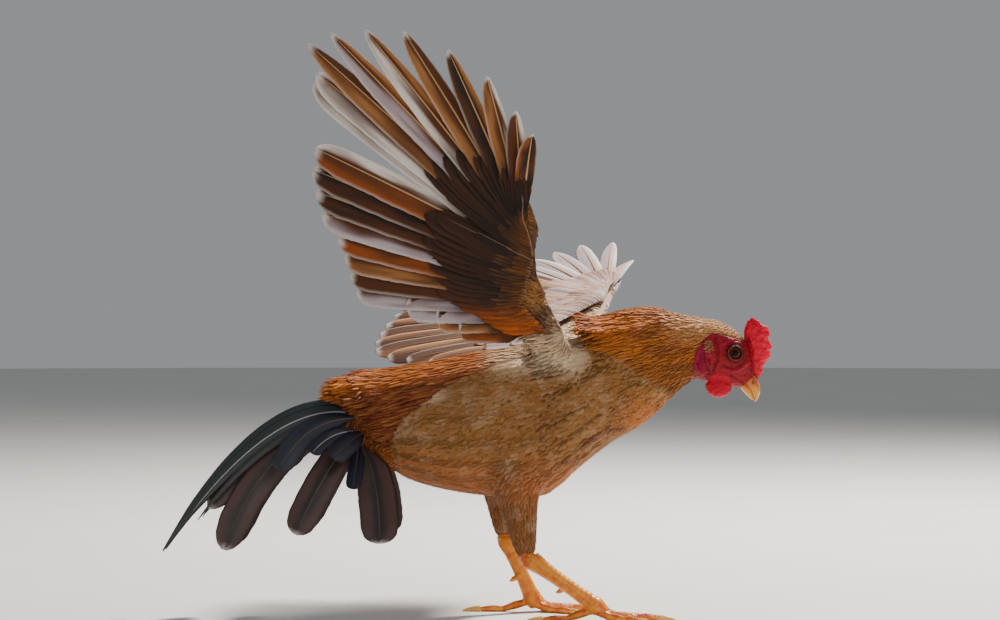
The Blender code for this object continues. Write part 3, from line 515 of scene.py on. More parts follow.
flightPlan = {
    "rows": 72, "columns": 10, "ragged": 0.05, "lean": 0.5, "cup": 0.12, "thick": 0.22,
    "primaryWidth": 17.5, "secondaryWidth": 19.0, "tilt": 13.0, "camber": 2.6, "shaft": 0.95,
    "blunt": ((0, 0.12), (0.08, 0.2), (0.26, 0.86), (0.6, 0.96), (0.86, 0.93), (0.94, 0.76), (0.98, 0.5),
              (1, 0.14)),
    "pointed": ((0, 0.12), (0.08, 0.2), (0.26, 0.86), (0.55, 0.92), (0.76, 0.82), (0.9, 0.56), (0.97, 0.3),
                (1, 0.06)),
}
brown, tan, pale, lilac, dark = (rgb(84, 50, 30), rgb(168, 120, 86), rgb(250, 240, 232),
                                 rgb(204, 190, 194), rgb(26, 17, 13))
amber = rgb(146, 84, 44)
# the pale and lilac vanes are partly the feathers' own pale edges and partly painted light: sun glowing through
# the near wing and lying on the far wing's upper face
wingShades = {
    # leading edge, trailing edge, streak by the shaft; from the wrist outward, then inward
    "right_primary": ((lilac, pale, brown), (pale, pale, brown), (brown, tan, brown), (tan, lilac, brown),
                      (tan, pale, brown), (brown, tan, brown), (tan, brown, dark), (pale, tan, brown),
                      (pale, brown, brown), (brown, amber, dark)),
    "right_secondary": ((pale, amber, brown), (brown, brown, dark), (amber, brown, dark),
                        (brown, lilac, brown), (amber, amber, brown), (amber, tan, brown),
                        (amber, brown, brown), (tan, lilac, brown), (brown, lilac, brown),
                        (amber, tan, dark), (amber, amber, brown)),
    "left_primary": ((tan, brown, brown), (tan, brown, brown), (tan, lilac, brown), (lilac, tan, brown),
                     (lilac, pale, lilac), (pale, lilac, lilac), (lilac, pale, lilac), (pale, lilac, lilac),
                     (pale, lilac, lilac), (pale, rgb(240, 200, 184), lilac)),
    "left_secondary": tuple([(tan, brown, brown), (brown, tan, brown)] * 5 + [(tan, tan, brown)]),
}


def flightShade(kind, k, seed):
    lead, trail, streak = wingShades[kind][k]
    inward = 0.42 if "left_primary" in kind else 0.8

    def shade(s, u):
        vane = lead if u < 0 else trail
        drift = noise.noise(Vector((u * 2.5 + seed, s * 5, seed * 3.1)))
        colour = blendRgb(streak, vane, ramp(abs(u) + 0.5 * drift, 0.1, 0.85))
        mottle = noise.noise(Vector((u * 7, s * 3 + seed, seed)))
        colour = blendRgb(colour, streak, 0.5 * ramp(mottle, 0.1, 0.5))
        colour = blendRgb(colour, dark, (1 - ramp(s + 0.1 * drift, 0.18, 0.5)) * inward)
        rim = ramp(abs(u), 0.88, 1.0) * 0.4 * ramp(s, 0.3, 0.6)
        end = ramp(s + 0.02 * drift, 0.95, 0.995) * 0.8
        return blendRgb(colour, pale, max(rim, end))
    return shade


def feathersAt(wing, angle):
    ahead, out, above = wingAxes(wing)
    tilt = math.radians(flightPlan["tilt"])
    way = ahead * math.cos(angle) + out * math.sin(angle)
    leading = ahead * math.sin(angle) - out * math.cos(angle)
    return way, leading, above * math.cos(tilt) - leading * math.sin(tilt), above


def flightFeathers(name, wing):
    bm = bmesh.new()
    layers = featherLayers(bm)
    for kind, count in (("primary", 10), ("secondary", 11)):
        primary = kind == "primary"
        for k in range(count):
            share = k / (count - 1)
            root, angle, length = quillStart(wing, kind, share)
            way, leading, face, above = feathersAt(wing, angle)
            start = wingSpot(wing, root[0], root[1])
            bend = wing["bend"] * length * share ** 2 if primary else 0.0
            path = [start + way * length * s + above * (flightPlan["camber"] * 4 * s * (1 - s) - bend * s * s)
                    for s in shaftSteps]
            seed = k + (20 if primary else 50) + (100 if name == "left" else 0)
            width = flightPlan["primaryWidth"] * (1 - 0.25 * share) if primary else flightPlan["secondaryWidth"]
            lead = 0.38 if primary else 0.42
            profile = flightPlan["pointed" if primary and k > 1 else "blunt"]
            shade = flightShade(name + "_" + kind, k, seed)
            if leading.dot(way.cross(face)) > 0:
                lead, shade = 1 - lead, lambda s, u, own=shade: own(s, -u)
            vaneInto(bm, layers, path, face, width, lead, profile, shade, flightPlan, seed)
            shaftInto(bm, layers, path[:24], face, flightPlan["shaft"], rgb(190, 150, 110))
    piece = settle(bm, "wing_feathers_" + name, [featherPaint.material, shaftPaint.material])
    thinSheet(piece, flightPlan["thick"])
    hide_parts("wing_" + name)


for name, wing in wings.items():
    flightFeathers(name, wing)
print("flight feathers")

covertPlan = {
    "rows": 14, "columns": 4, "ragged": 0.1, "lean": 0.5, "cup": 0.2, "thick": 0.16, "shaft": 0.35,
    "profile": ((0, 0.3), (0.2, 0.8), (0.5, 1.0), (0.8, 0.9), (0.94, 0.6), (1, 0.15)),
    # share of the flight feather, width, stand-off at root and tip, how many, start back or ahead
    "tiers": ((0.46, 14.0, 3.0, 1.6, 18, 0), (0.31, 12.0, 4.2, 2.2, 20, 1), (0.20, 10.0, 5.2, 3.0, 22, 3),
              (0.13, 8.0, 5.8, 4.0, 24, 5)),
    "under": (dark, rgb(36, 23, 17), rgb(54, 35, 25)),
    "back": (rgb(140, 86, 50), rgb(166, 106, 62), rgb(112, 68, 42)),
    # far wing coverts in lilac and pale grey-browns: their colour with painted sunlight on it
    "leftSunlitShades": (lilac, rgb(150, 124, 112), rgb(190, 164, 154)), "paleTiers": (0, 0, 0.25, 0.55),
}


def wingCoverts(name, wing):
    bm = bmesh.new()
    featherLayers(bm)
    rng = np.random.default_rng(31 if name == "right" else 32)
    under = {1: covertPlan["under"], -1: covertPlan["back"]}
    for face in (-1, 1):
        # the side that hangs toward the camera is dark, the back of the wing is brown; the far wing's coverts
        # carry painted sunlight
        shades = covertPlan["leftSunlitShades"] if name == "left" else under[-face]
        for tier, (part, width, near, far, count, back) in enumerate(covertPlan["tiers"]):
            for kind in ("primary", "secondary"):
                group = bmesh.new()
                layers = featherLayers(group)
                for k in range(count):
                    share = (k + 0.5 + rng.uniform(-0.2, 0.2)) / count
                    root, angle, length = quillStart(wing, kind, share)
                    way, leading, plane, above = feathersAt(wing, angle)
                    above = above * face
                    start = wingSpot(wing, root[0], root[1]) - way * back
                    start += above * near * (0.75 if kind == "primary" else 1)
                    long = length * part * rng.uniform(0.9, 1.1)
                    if kind == "primary":
                        long *= 1 - 0.35 * share
                    tip = start + way * long + above * (far - near)
                    tip += above * face * flightPlan["camber"] * 0.8
                    path = [start.lerp(tip, s / 8) + above * 1.4 * (s / 8) * (1 - s / 8) for s in range(9)]
                    base = blendRgb(shades[rng.integers(3)], shades[rng.integers(3)], rng.random())
                    if face < 0 and name == "right":
                        warm = covertPlan["paleTiers"][tier] * rng.uniform(0.2, 1.0)
                        base = blendRgb(base, rgb(150, 98, 62), warm)
                        inner = ramp(share, 0.6, 0.95) if kind == "secondary" else 0.0
                        base = blendRgb(base, rgb(206, 116, 52), inner * rng.uniform(0.2, 0.9))
                    fringe = tan if face > 0 or tier > 1 else brown

                    def shade(s, u, base=base, fringe=fringe):
                        return blendRgb(base, fringe, 0.55 * ramp(abs(u) * 0.6 + s * 0.6, 0.75, 1.15))
                    vaneInto(group, layers, path, plane * (-face), width * (1 - 0.3 * share), 0.45,
                             covertPlan["profile"], shade, covertPlan, int(rng.integers(1e6)))
                    shaftInto(group, layers, path[:8], plane, covertPlan["shaft"], blendRgb(base, tan, 0.3))
                lump = meshFrom(group, "group")
                bm.from_mesh(lump)
                bpy.data.meshes.remove(lump)
    piece = settle(bm, "wing_coverts_" + name, [featherPaint.material, shaftPaint.material])
    thinSheet(piece, covertPlan["thick"])
    print("coverts", name, len(piece.data.polygons))


for name, wing in wings.items():
    wingCoverts(name, wing)

tailPlan = {
    "rows": 60, "columns": 10, "ragged": 0.03, "lean": 0.35, "cup": 0.14, "thick": 0.25,
    "profile": ((0, 0.16), (0.1, 0.3), (0.3, 0.9), (0.6, 1.0), (0.86, 0.97), (0.94, 0.82), (0.98, 0.55),
                (1, 0.15)),
    "sickleProfile": ((0, 0.3), (0.16, 0.9), (0.34, 1.0), (0.52, 0.95), (0.7, 0.8), (0.86, 0.55), (1, 0.1)),
    # each row: root x and z, knee x and z, tip x and z, root y, tip y, breadth
    "mains": ((-64, 119, -100, 120, -152, 64, 1.4, 7, 15), (-65, 116, -119, 108, -142, 40.5, 3.2, 17, 20.5),
              (-64, 109, -80, 94, -99.5, 50.5, 4.9, 30, 19.5), (-63, 102, -51, 86, -50, 46, 6.6, 40, 23)),
    "coverts": ((-65, 117, -96, 117, -109, 87, 10, 24, 15), (-65, 109, -80, 110, -90, 97, 8.6, 28, 10),
                (-60, 109, -66, 106, -78, 95, 10.6, 33, 13), (-64, 102, -64, 92, -66, 77, 8.6, 36, 9.5)),
    "sickles": ((-64, 121, -116, 138, -178.5, 39, 5, 7, 9.5), (-64, 119, -110, 130, -165, 57, 6.7, 10, 10.5),
                (-64, 116, -109, 122, -157.5, 57.5, 8.4, 13, 5)),
}
tailPaint = Paint("tail_vane", {"Roughness": 0.34, "Specular IOR Level": 0.5, "Coat Weight": 0.12})
tailAcross = tailPaint.node("ShaderNodeUVMap", {"uv_map": "barbs"})
tailBarbs = tailPaint.node("ShaderNodeTexWave", {"wave_type": "BANDS", "bands_direction": "Y"},
                           {"Vector": tailAcross, "Scale": 14.0, "Distortion": 1.0, "Detail": 2.0})
tailPaint.colour(tailPaint.mix(tailBarbs * 0.02, tailPaint.tint(), (0.4, 0.34, 0.32)))
tailPaint.relief(tailBarbs, 0.35, 0.0002)


def tailShade(kind, seed):
    def shade(s, u):
        drift = noise.noise(Vector((u * 3 + seed, s * 6, seed)))
        if kind == "sickle":
            return blendRgb(rgb(16, 18, 20), rgb(14, 44, 42), 0.4 + 0.6 * drift)
        if kind == "covert":
            return blendRgb(rgb(14, 15, 24), rgb(24, 34, 58), 0.4 + 0.6 * drift)
        colour = blendRgb(rgb(24, 17, 17), rgb(72, 50, 46), ramp(abs(u) + 0.25 * drift, 0.1, 0.55))
        colour = blendRgb(colour, rgb(30, 22, 20), ramp(abs(u), 0.8, 1.0) * 0.6)
        return blendRgb(colour, rgb(224, 214, 208), ramp(s + 0.01 * drift, 0.975, 1.0) * 0.9)
    return shade


def tailFeathers():
    bm = bmesh.new()
    layers = featherLayers(bm)
    seed = 300
    for kind in ("main", "covert", "sickle"):
        for number, row in enumerate(tailPlan[kind + "s"]):
            for side in (-1, 1):
                seed += 1
                rootX, rootZ, kneeX, kneeZ, tipX, tipZ, rootY, tipY, width = row
                root, tip = Vector((rootX, side * rootY, rootZ)), Vector((tipX, side * tipY, tipZ))
                knee = Vector((kneeX, side * (0.55 * rootY + 0.45 * tipY), kneeZ))
                path = [root * (1 - s) ** 2 + knee * 2 * s * (1 - s) + tip * s * s for s in shaftSteps]
                face = Vector((0, side, 0.25)).normalized()
                profile = tailPlan["sickleProfile"] if kind == "sickle" else tailPlan["profile"]
                vaneInto(bm, layers, path, face, width, 0.5, profile, tailShade(kind, seed), tailPlan, seed)
                light = (kind == "sickle" and number == 1) or (kind == "covert" and number == 1)
                shaftInto(bm, layers, path[:24], face, 0.42 if light else 0.6,
                          rgb(206, 206, 216) if light else rgb(34, 28, 28))
    piece = settle(bm, "tail_feathers", [tailPaint.material, shaftPaint.material])
    thinSheet(piece, tailPlan["thick"])
    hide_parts("tail")


tailFeathers()
print("tail feathers")

skinPaint = Paint("plumage_ground", {"Roughness": 0.8, "Sheen Weight": 0.2})
skinTint = skinPaint.tint()
skinGrain = skinPaint.grain(skinPaint.place(), 620.0, 4.0)
skinPaint.colour(skinPaint.mix(skinPaint.spread(skinGrain, 0.3, 0.7, 0.0, 0.6), skinTint,
                               skinPaint.mix(0.55, skinTint, (0.05, 0.025, 0.015))))
skinPaint.relief(skinGrain, 0.5, 0.0008)

tintLayer = tintOn(skinBm)
for vert in skinBm.verts:
    vert[tintLayer] = (*blendRgb(bodyShade(vert.co), umber, 0.45), 1)
skin = settle(skinBm, "skin", [skinPaint.material])
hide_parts("torso", "neck", "thigh_right", "thigh_left")
print("skin coloured")

# Coat: joined small feathers, each a closed leaf or a thin barb

coatPaint = Paint("coat_feather", {"Roughness": 0.7, "Specular IOR Level": 0.2})
coatTint = coatPaint.tint()
coatUv = coatPaint.node("ShaderNodeUVMap", {"uv_map": "leaf"})
coatRibs = coatPaint.node("ShaderNodeTexWave", {"wave_type": "BANDS", "bands_direction": "X"},
                          {"Vector": coatUv, "Scale": 1.6, "Distortion": 2.5, "Detail": 1.0})
coatPaint.colour(coatPaint.mix(coatRibs * 0.16, coatTint, coatPaint.mix(0.16, coatTint, (0.9, 0.72, 0.5))))

leafShapes = {
    # stations as share along and width, then the section as side and height
    "round": (((0.1, 0.5), (0.42, 0.95), (0.76, 0.96), (0.93, 0.6)), ((-1, 0), (0, 0.06), (1, 0))),
    "lance": (((0.15, 0.6), (0.5, 1.0), (0.82, 0.6)), ((-1, 0), (0, 0.2), (1, 0))),
    "barb": (((0.3, 1.0), (0.7, 0.7)), ((-1, 0), (0, 0.9), (1, 0))),
}


def leafArrays(shape):
    # points as side, along and height, and the triangles that close them, facing outward
    stations, section = shape
    n = len(section)
    points = [(0, 0, 0)]
    for along, wide in stations:
        points += [(side * wide, along, high * wide) for side, high in section]
    points.append((0, 1, 0))
    faces = []
    for a in range(n):
        b = (a + 1) % n
        faces.append((0, 1 + b, 1 + a))
        for k in range(len(stations) - 1):
            low, high = 1 + k * n, 1 + (k + 1) * n
            faces += [(low + a, low + b, high + b), (low + a, high + b, high + a)]
        low = 1 + (len(stations) - 1) * n
        faces.append((low + a, low + b, len(points) - 1))
    points, faces = np.array(points, float), np.array(faces)
    a, b, c = points[faces[:, 0]], points[faces[:, 1]], points[faces[:, 2]]
    if np.einsum("ij,ij->i", a, np.cross(b, c)).sum() < 0:
        faces = faces[:, ::-1]
    return points, faces


def skinSamples(mesh, keep, tightest, widest, seed):
    # evenly thinned places on a mesh, with their normals
    mesh.calc_loop_triangles()
    co = np.array([toBird @ v.co for v in mesh.vertices])
    tri = np.array([t.vertices[:] for t in mesh.loop_triangles])
    a, b, c = co[tri[:, 0]], co[tri[:, 1]], co[tri[:, 2]]
    cross = np.cross(b - a, c - a)
    area = np.linalg.norm(cross, axis=1) / 2
    wanted = np.array([bool(keep(spot, normal)) for spot, normal in
                       zip((a + b + c) / 3, cross / (2 * area[:, None] + 1e-12))])
    weight = np.where(wanted, area, 0)
    rng = np.random.default_rng(seed)
    want = int(weight.sum() / tightest ** 2 * 3)
    pick = rng.choice(len(tri), size=want, p=weight / weight.sum())
    r1, r2 = np.sqrt(rng.random(want)), rng.random(want)
    spots = a[pick] * (1 - r1)[:, None] + b[pick] * (r1 * (1 - r2))[:, None] + c[pick] * (r1 * r2)[:, None]
    normals = cross[pick] / (2 * area[pick])[:, None]
    grid, kept = {}, []
    cells = (spots // widest).astype(int)
    for k in range(want):
        gap = keep(spots[k], normals[k])
        if not gap:
            continue
        x, y, z = cells[k]
        spot = spots[k]
        for key in ((x + i, y + j, z + m) for i in (-1, 0, 1) for j in (-1, 0, 1) for m in (-1, 0, 1)):
            clear = all((a - spot[0]) ** 2 + (b - spot[1]) ** 2 + (c - spot[2]) ** 2 >= gap * gap
                        for a, b, c in grid.get(key, ()))
            if not clear:
                break
        if clear:
            grid.setdefault((x, y, z), []).append(tuple(spot))
            kept.append(k)
    return spots[kept], normals[kept], rng


def unrolled(spot):
    # place on the skin laid out flat: along the body and round it, or along the arm and round it
    arm = onArm(spot)
    if arm:
        name, a, b, c = arm
        return 0.02 + (b / 130) * 0.9, (math.atan2(c, a + 18) / (2 * math.pi)) % 1.0 * 0.96 + 0.02
    return (spot[0] + 110) / 310, (math.atan2(spot[1], spot[2] - 120) / (2 * math.pi)) % 1.0 * 0.96 + 0.02


def growCoat(name, mesh, shape, keep, spacing, build, shade, seed):
    # build(spot, normal, rng) gives length, width and lie of the feather rooted there, how far its tip
    # stands off the skin, and how far it bends down to follow the skin as a share of its length
    spots, normals, rng = skinSamples(mesh, keep, spacing[0], spacing[1], seed)
    tree = BVHTree.FromPolygons([toBird @ v.co for v in mesh.vertices],
                                [p.vertices[:] for p in mesh.polygons])
    points, leafFaces = leafArrays(leafShapes[shape])
    count, each = len(spots), len(points)
    verts, tints = np.zeros((count, each, 3)), np.ones((count, each, 4))
    roots = np.zeros((count, 2))
    share = points[:, 1] ** 1.3
    for k in range(count):
        spot, normal = Vector(spots[k]), Vector(normals[k])
        length, width, lie, stand, sag = build(spot, normal, rng)
        # where the skin faces the way that they lie, feathers turn down and stay short
        facing = ramp(abs(lie.normalized().dot(normal)), 0.45, 0.9)
        lie = lie.normalized() + Vector((0, 0, -1.2)) * facing
        lie = (lie - normal * lie.dot(normal)).normalized()
        length *= 1 - 0.5 * facing
        along = (lie + lie.cross(normal) * rng.normal(0, 0.07)).normalized()
        highest = -0.06 - 0.16 * ramp(-spot.x, 50, 74)
        if spot.x < -40 and along.z > highest:
            # over the root of the tail they never point up
            along = Vector((along.x, along.y, highest)).normalized()
        side = along.cross(normal).normalized()
        lifted = side.cross(along)
        heights = []
        for part in (0.5, 1.0):
            point = spot + along * length * part
            near, outward = tree.find_nearest(point)[:2]
            gap = math.copysign((point - near).length, (point - near).dot(outward))
            rise = max(stand * (0.7 + 0.3 * part) * rng.uniform(0.8, 1.2) - gap, -sag * length * part)
            heights.append(min(rise, stand + 0.1 * length * part))
        middle, end = heights
        high = points[:, 2] * width / 2
        high = high + (4 * middle - end) * points[:, 1] + (2 * end - 4 * middle) * points[:, 1] ** 2
        verts[k] = (np.array(spot - normal * 0.2) + (points[:, 0] * width / 2)[:, None] * np.array(side)
                    + (points[:, 1] * length)[:, None] * np.array(along) + high[:, None] * np.array(lifted))
        root, tip = shade(spot, normal, rng)
        tints[k, :, :3] = np.array(root) * (1 - share)[:, None] + np.array(tip) * share[:, None]
        roots[k] = unrolled(spot)
    faces = (leafFaces[None] + (np.arange(count) * each)[:, None, None]).reshape(-1, 3)
    made = bpy.data.meshes.new(name)
    flat = verts.reshape(-1, 3) * 0.001 + np.array([shiftX, shiftY, 0])
    made.vertices.add(len(flat))
    made.vertices.foreach_set("co", flat.ravel())
    made.loops.add(faces.size)
    made.loops.foreach_set("vertex_index", faces.ravel().astype(np.int32))
    made.polygons.add(len(faces))
    made.polygons.foreach_set("loop_start", np.arange(0, faces.size, 3, dtype=np.int32))
    made.update(calc_edges=True)
    tint = made.attributes.new("tint", "FLOAT_COLOR", "POINT")
    tint.data.foreach_set("color", tints.ravel().astype(np.float32))
    leaf = made.uv_layers.new(name="leaf")
    local = np.tile(points[:, :2], (count, 1))[faces.ravel()]
    leaf.data.foreach_set("uv", local.ravel().astype(np.float32))
    bake = made.uv_layers.new(name="OFBake")
    patch = np.repeat(roots, each, axis=0)[faces.ravel()] + (local - (0, 0.5)) * (0.0015, 0.003)
    bake.data.foreach_set("uv", patch.ravel().astype(np.float32))
    made.uv_layers.active = leaf
    made.materials.append(coatPaint.material)
    piece = linked(name, made)
    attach(piece, "root")
    print(name, count, "feathers", len(faces), "faces")


coatLook = {
    "body": {"gap": 1.5, "length": 9.0, "width": 5.0, "stand": 0.35},
    "thigh": {"gap": 1.15, "length": 6.5, "width": 2.4, "stand": 0.45},
    "breast": {"gap": 1.3, "length": 7.0, "width": 3.4, "stand": 0.35},
    "saddle": {"gap": 1.5, "length": 17.0, "width": 1.9},
    "cape": {"gap": 1.3, "length": 14.0, "width": 1.8},
    "head": {"gap": 0.8, "length": 4.4, "width": 1.15},
    "arm": {"gap": 1.5, "length": 6.0, "width": 2.8},
    "down": {"gap": 1.8, "length": 5.0, "width": 0.2},
}


# the rear edge of the comb, as z and x
combLine = ((141.2, 148.4, 153.2, 157.6, 161.8, 165.8, 168.2),
            (168.4, 167.3, 166.6, 165.9, 164.9, 163.4, 161.6))


def feathered(spot):
    x, y, z = spot
    return not (x > 128 and bareHead(x - 2.7, z + 1.3)) and x < float(np.interp(z, *combLine)) - 1.6


def onThigh(x, z):
    return z < 74 and 8 < x < 62


def bodyKeep(spot, normal):
    x, y, z = spot
    if x > 137 or z > 168 or onCape(x, z) or onSaddle(x, z) or onArm(spot) or not feathered(spot):
        return None
    if z < 56 and normal[2] < -0.6:
        return None
    if onThigh(x, z):
        return coatLook["thigh"]["gap"]
    return coatLook["breast"]["gap"] if x > 84 else coatLook["body"]["gap"]


def bodyBuild(spot, normal, rng):
    thigh = onThigh(spot.x, spot.z)
    look = coatLook["thigh" if thigh else "breast" if spot.x > 84 else "body"]
    lie = Vector((-1, 0, -0.45))
    if spot.z < 82 and spot.x < 20:
        lie = Vector((-1, 0, 0.1))
    down = (1 - ramp(spot.z, 64, 84)) * ramp(spot.x, 2, 14) * ramp(-spot.x, -74, -60)
    lie = lie.lerp(Vector((0.1, 0, -1)), down)
    length, width = look["length"] * rng.uniform(0.85, 1.15), look["width"] * rng.uniform(0.85, 1.15)
    return length, width, lie, look["stand"], 0.3


def bodyTint(spot, normal, rng):
    colour = bodyShade(spot)
    colour = blendRgb(colour, umber, rng.uniform(0, 0.22))
    # the root end is darker: painted shade where the feather above overlaps it
    return blendRgb(colour, umber, 0.12), blendRgb(colour, cream, rng.uniform(0.0, 0.12))


for name, side, seed in (("right", -1, 11), ("left", 1, 21)):
    growCoat("coat_body_" + name, skin.data, "round",
             lambda spot, normal, left=side > 0: (spot[1] >= 0) == left and bodyKeep(spot, normal),
             (1.2, 1.7), bodyBuild, bodyTint, seed)


def saddleKeep(spot, normal):
    x, y, z = spot
    if x > 60 or not onSaddle(x, z) or onArm(spot):
        return None
    return coatLook["saddle"]["gap"]


def saddleBuild(spot, normal, rng):
    low = 1 - ramp(spot.z, 96, 124)
    length = coatLook["saddle"]["length"] * (1 - 0.45 * low) * (1 - 0.35 * ramp(spot.x, 0, 50))
    length = max(4.0, min(length * rng.uniform(0.8, 1.15), spot.x + 88 + rng.uniform(-2, 1)))
    return (length, coatLook["saddle"]["width"] * rng.uniform(0.8, 1.2),
            Vector((-1, 0, -0.22)), rng.uniform(0.4, 1.2), 0.14)


def strandTint(spot, normal, rng):
    colour = bodyShade(spot)
    colour = blendRgb(colour, rust, rng.uniform(0, 0.45) ** 1.5)
    # the root end is darker: partly the strands' dark bases, partly painted shade under the strands above
    return blendRgb(colour, umber, 0.55), blendRgb(colour, rgb(246, 186, 128), rng.uniform(0.0, 0.34))


growCoat("coat_saddle", skin.data, "lance", saddleKeep, (1.5, 1.6), saddleBuild, strandTint, 12)


def capeKeep(spot, normal):
    x, y, z = spot
    if not onCape(x, z) or x > 139 or onArm(spot) or not feathered(spot) or (normal[0] < -0.6 and x < 90):
        return None
    return coatLook["cape"]["gap"] * (1 - 0.25 * ramp(x, 100, 132))


def capeBuild(spot, normal, rng):
    near = ramp(spot.x, 80, 132)
    length = coatLook["cape"]["length"] * (1 - 0.55 * near) * rng.uniform(0.8, 1.2)
    width = coatLook["cape"]["width"] * (1 - 0.35 * near) * rng.uniform(0.8, 1.2)
    return length, width, Vector((-1, 0, -0.30 if spot.z < 172 else -0.08)), rng.uniform(0.4, 1.1), 0.2


growCoat("coat_cape", skin.data, "lance", capeKeep, (1.05, 1.5), capeBuild, strandTint, 13)


def armKeep(spot, normal):
    return coatLook["arm"]["gap"] if onArm(spot) else None


def armBuild(spot, normal, rng):
    name, a, b, c = onArm(spot)
    ahead, out, above = wingAxes(wings[name])
    length = coatLook["arm"]["length"] * rng.uniform(0.8, 1.2)
    width = coatLook["arm"]["width"] * rng.uniform(0.8, 1.2)
    return length, width, ahead * -0.9 + out * 0.35, 0.45, 0.3


growCoat("coat_arms", skin.data, "round", armKeep, (1.5, 1.6), armBuild, bodyTint, 14)


def downKeep(spot, normal):
    x, y, z = spot
    if x > 128 or (z < 56 and normal[2] < -0.6):
        return None
    return coatLook["down"]["gap"]


def downBuild(spot, normal, rng):
    arm = onArm(spot)
    lie = Vector((-1, 0, -0.4)) if spot.z > 68 else Vector((0.1, 0, -1))
    if arm:
        lie = wingAxes(wings[arm[0]])[0] * -1
    lie = lie + Vector(rng.normal(0, 0.16, 3))
    return (coatLook["down"]["length"] * rng.uniform(0.6, 1.3), coatLook["down"]["width"], lie, 1.0, 0.2)


def downTint(spot, normal, rng):
    colour = blendRgb(bodyShade(spot), cream, rng.uniform(0.0, 0.16))
    return colour, blendRgb(colour, cream, 0.2)


growCoat("coat_down", skin.data, "barb", downKeep, (1.8, 1.9), downBuild, downTint, 15)

# Head: one bare skin with its wrinkles, lids and the cup of the ear

facePaint = Paint("face_skin", {"Roughness": 0.5, "Specular IOR Level": 0.22, "Subsurface Weight": 0.08,
                                "Subsurface Scale": 0.0015})
faceTint = facePaint.tint()
faceCells = facePaint.cells(facePaint.place(), 1000.0)
faceGrain = facePaint.grain(facePaint.place(), 420.0, 4.0)
facePaint.colour(facePaint.mix(facePaint.spread(faceGrain, 0.3, 0.7, 0.0, 0.5), faceTint,
                               facePaint.mix(0.5, faceTint, (0.10, 0.004, 0.010))))
facePaint.relief(faceCells + faceGrain * 0.8, 0.45, 0.0005)
eyePlace = Vector((156.0, 8.9, 154.8))


def faceShade(spot):
    x, y, z = spot
    colour = blendRgb(rgb(144, 14, 54), rgb(134, 34, 78), ramp(-x, -143, -133) * 0.6)
    # painted highlight: paler pink along the top of the face, where light falls on the brow
    colour = blendRgb(colour, rgb(176, 80, 96), ramp(z + (x - 150) * 0.25, 162, 168) * 0.5)
    # painted shade: deeper red low at the back of the face
    colour = blendRgb(colour, rgb(120, 6, 34), ramp(-z, -148, -140) * ramp(-x, -144, -136) * 0.9)
    fromEye = math.hypot(x - eyePlace.x, z - eyePlace.z)
    colour = blendRgb(colour, rgb(104, 36, 40), (1 - ramp(fromEye, 4.8, 8.4)) * 0.8)
    if fromEye < 5.0:
        ring = ramp(4.6 - abs(fromEye - 4.0) * 5, 3.4, 4.4)
        colour = blendRgb(rgb(54, 20, 20), rgb(150, 100, 80), ring * 0.6)
    colour = blendRgb(colour, rgb(104, 12, 42), 0.5 * ramp(wobble(spot, 0.4), -0.1, 0.5))
    if not bareHead(x + 0.6, z - 0.6) and spot.x < 162:
        return blendRgb(bodyShade(spot), umber, 0.6)
    return colour


combLook = {"grain": ((0.42, 0.9), (0.95, 0.5)), "tooth": 0.65, "nick": 0.25, "forward": 0.12, "upward": 0.05}


def combShade(spot):
    return blendRgb(rgb(216, 8, 84), rgb(246, 30, 98), ramp(spot.x, 168, 177))


folds = (
    # a line on the cheek as x and z, its half width, and how far it stands out or sinks
    (((148.5, 148.5), (152, 146.6), (157, 146.4), (161.5, 149.2), (163.4, 154)), 0.8, -0.6),
    (((149.5, 145.6), (154, 144.0), (159.5, 145.2), (163.8, 149)), 0.8, 0.45),
    (((144.6, 164), (146, 157), (145.2, 150), (142.4, 143.5)), 0.9, -0.8),
    (((134.6, 162), (133.4, 155), (134.2, 149), (137, 143)), 1.0, 0.6),
    (((138.6, 163.6), (137.2, 157), (138.2, 151), (140.4, 145)), 0.7, -0.6),
    (((149, 160.4), (153.6, 162.4), (159.4, 161)), 1.1, 0.55),
    (((140.5, 142.2), (146.5, 142.8), (153.5, 141.4)), 0.8, -0.5),
    (((154, 142.0), (157.6, 139.4), (161.4, 137.6)), 0.6, -0.5),
)


def nearFold(x, z, line):
    best = 99.0
    for (ax, az), (bx, bz) in zip(line, line[1:]):
        dx, dz = bx - ax, bz - az
        share = max(0.0, min(1.0, ((x - ax) * dx + (z - az) * dz) / (dx * dx + dz * dz)))
        best = min(best, math.hypot(x - ax - dx * share, z - az - dz * share))
    return best


def onComb(spot):
    if spot.z > 168.2:
        return ramp(spot.x + (spot.z - 168.2) * 0.1, 160.6, 161.6)
    return ramp(spot.x - float(np.interp(spot.z, *combLine)), -0.4, 1.4)


def onWattle(spot):
    off = Vector((spot.x - 147.2, 0, spot.z - 135.2))
    return 1 - ramp(off.length, 6.2, 8.8)


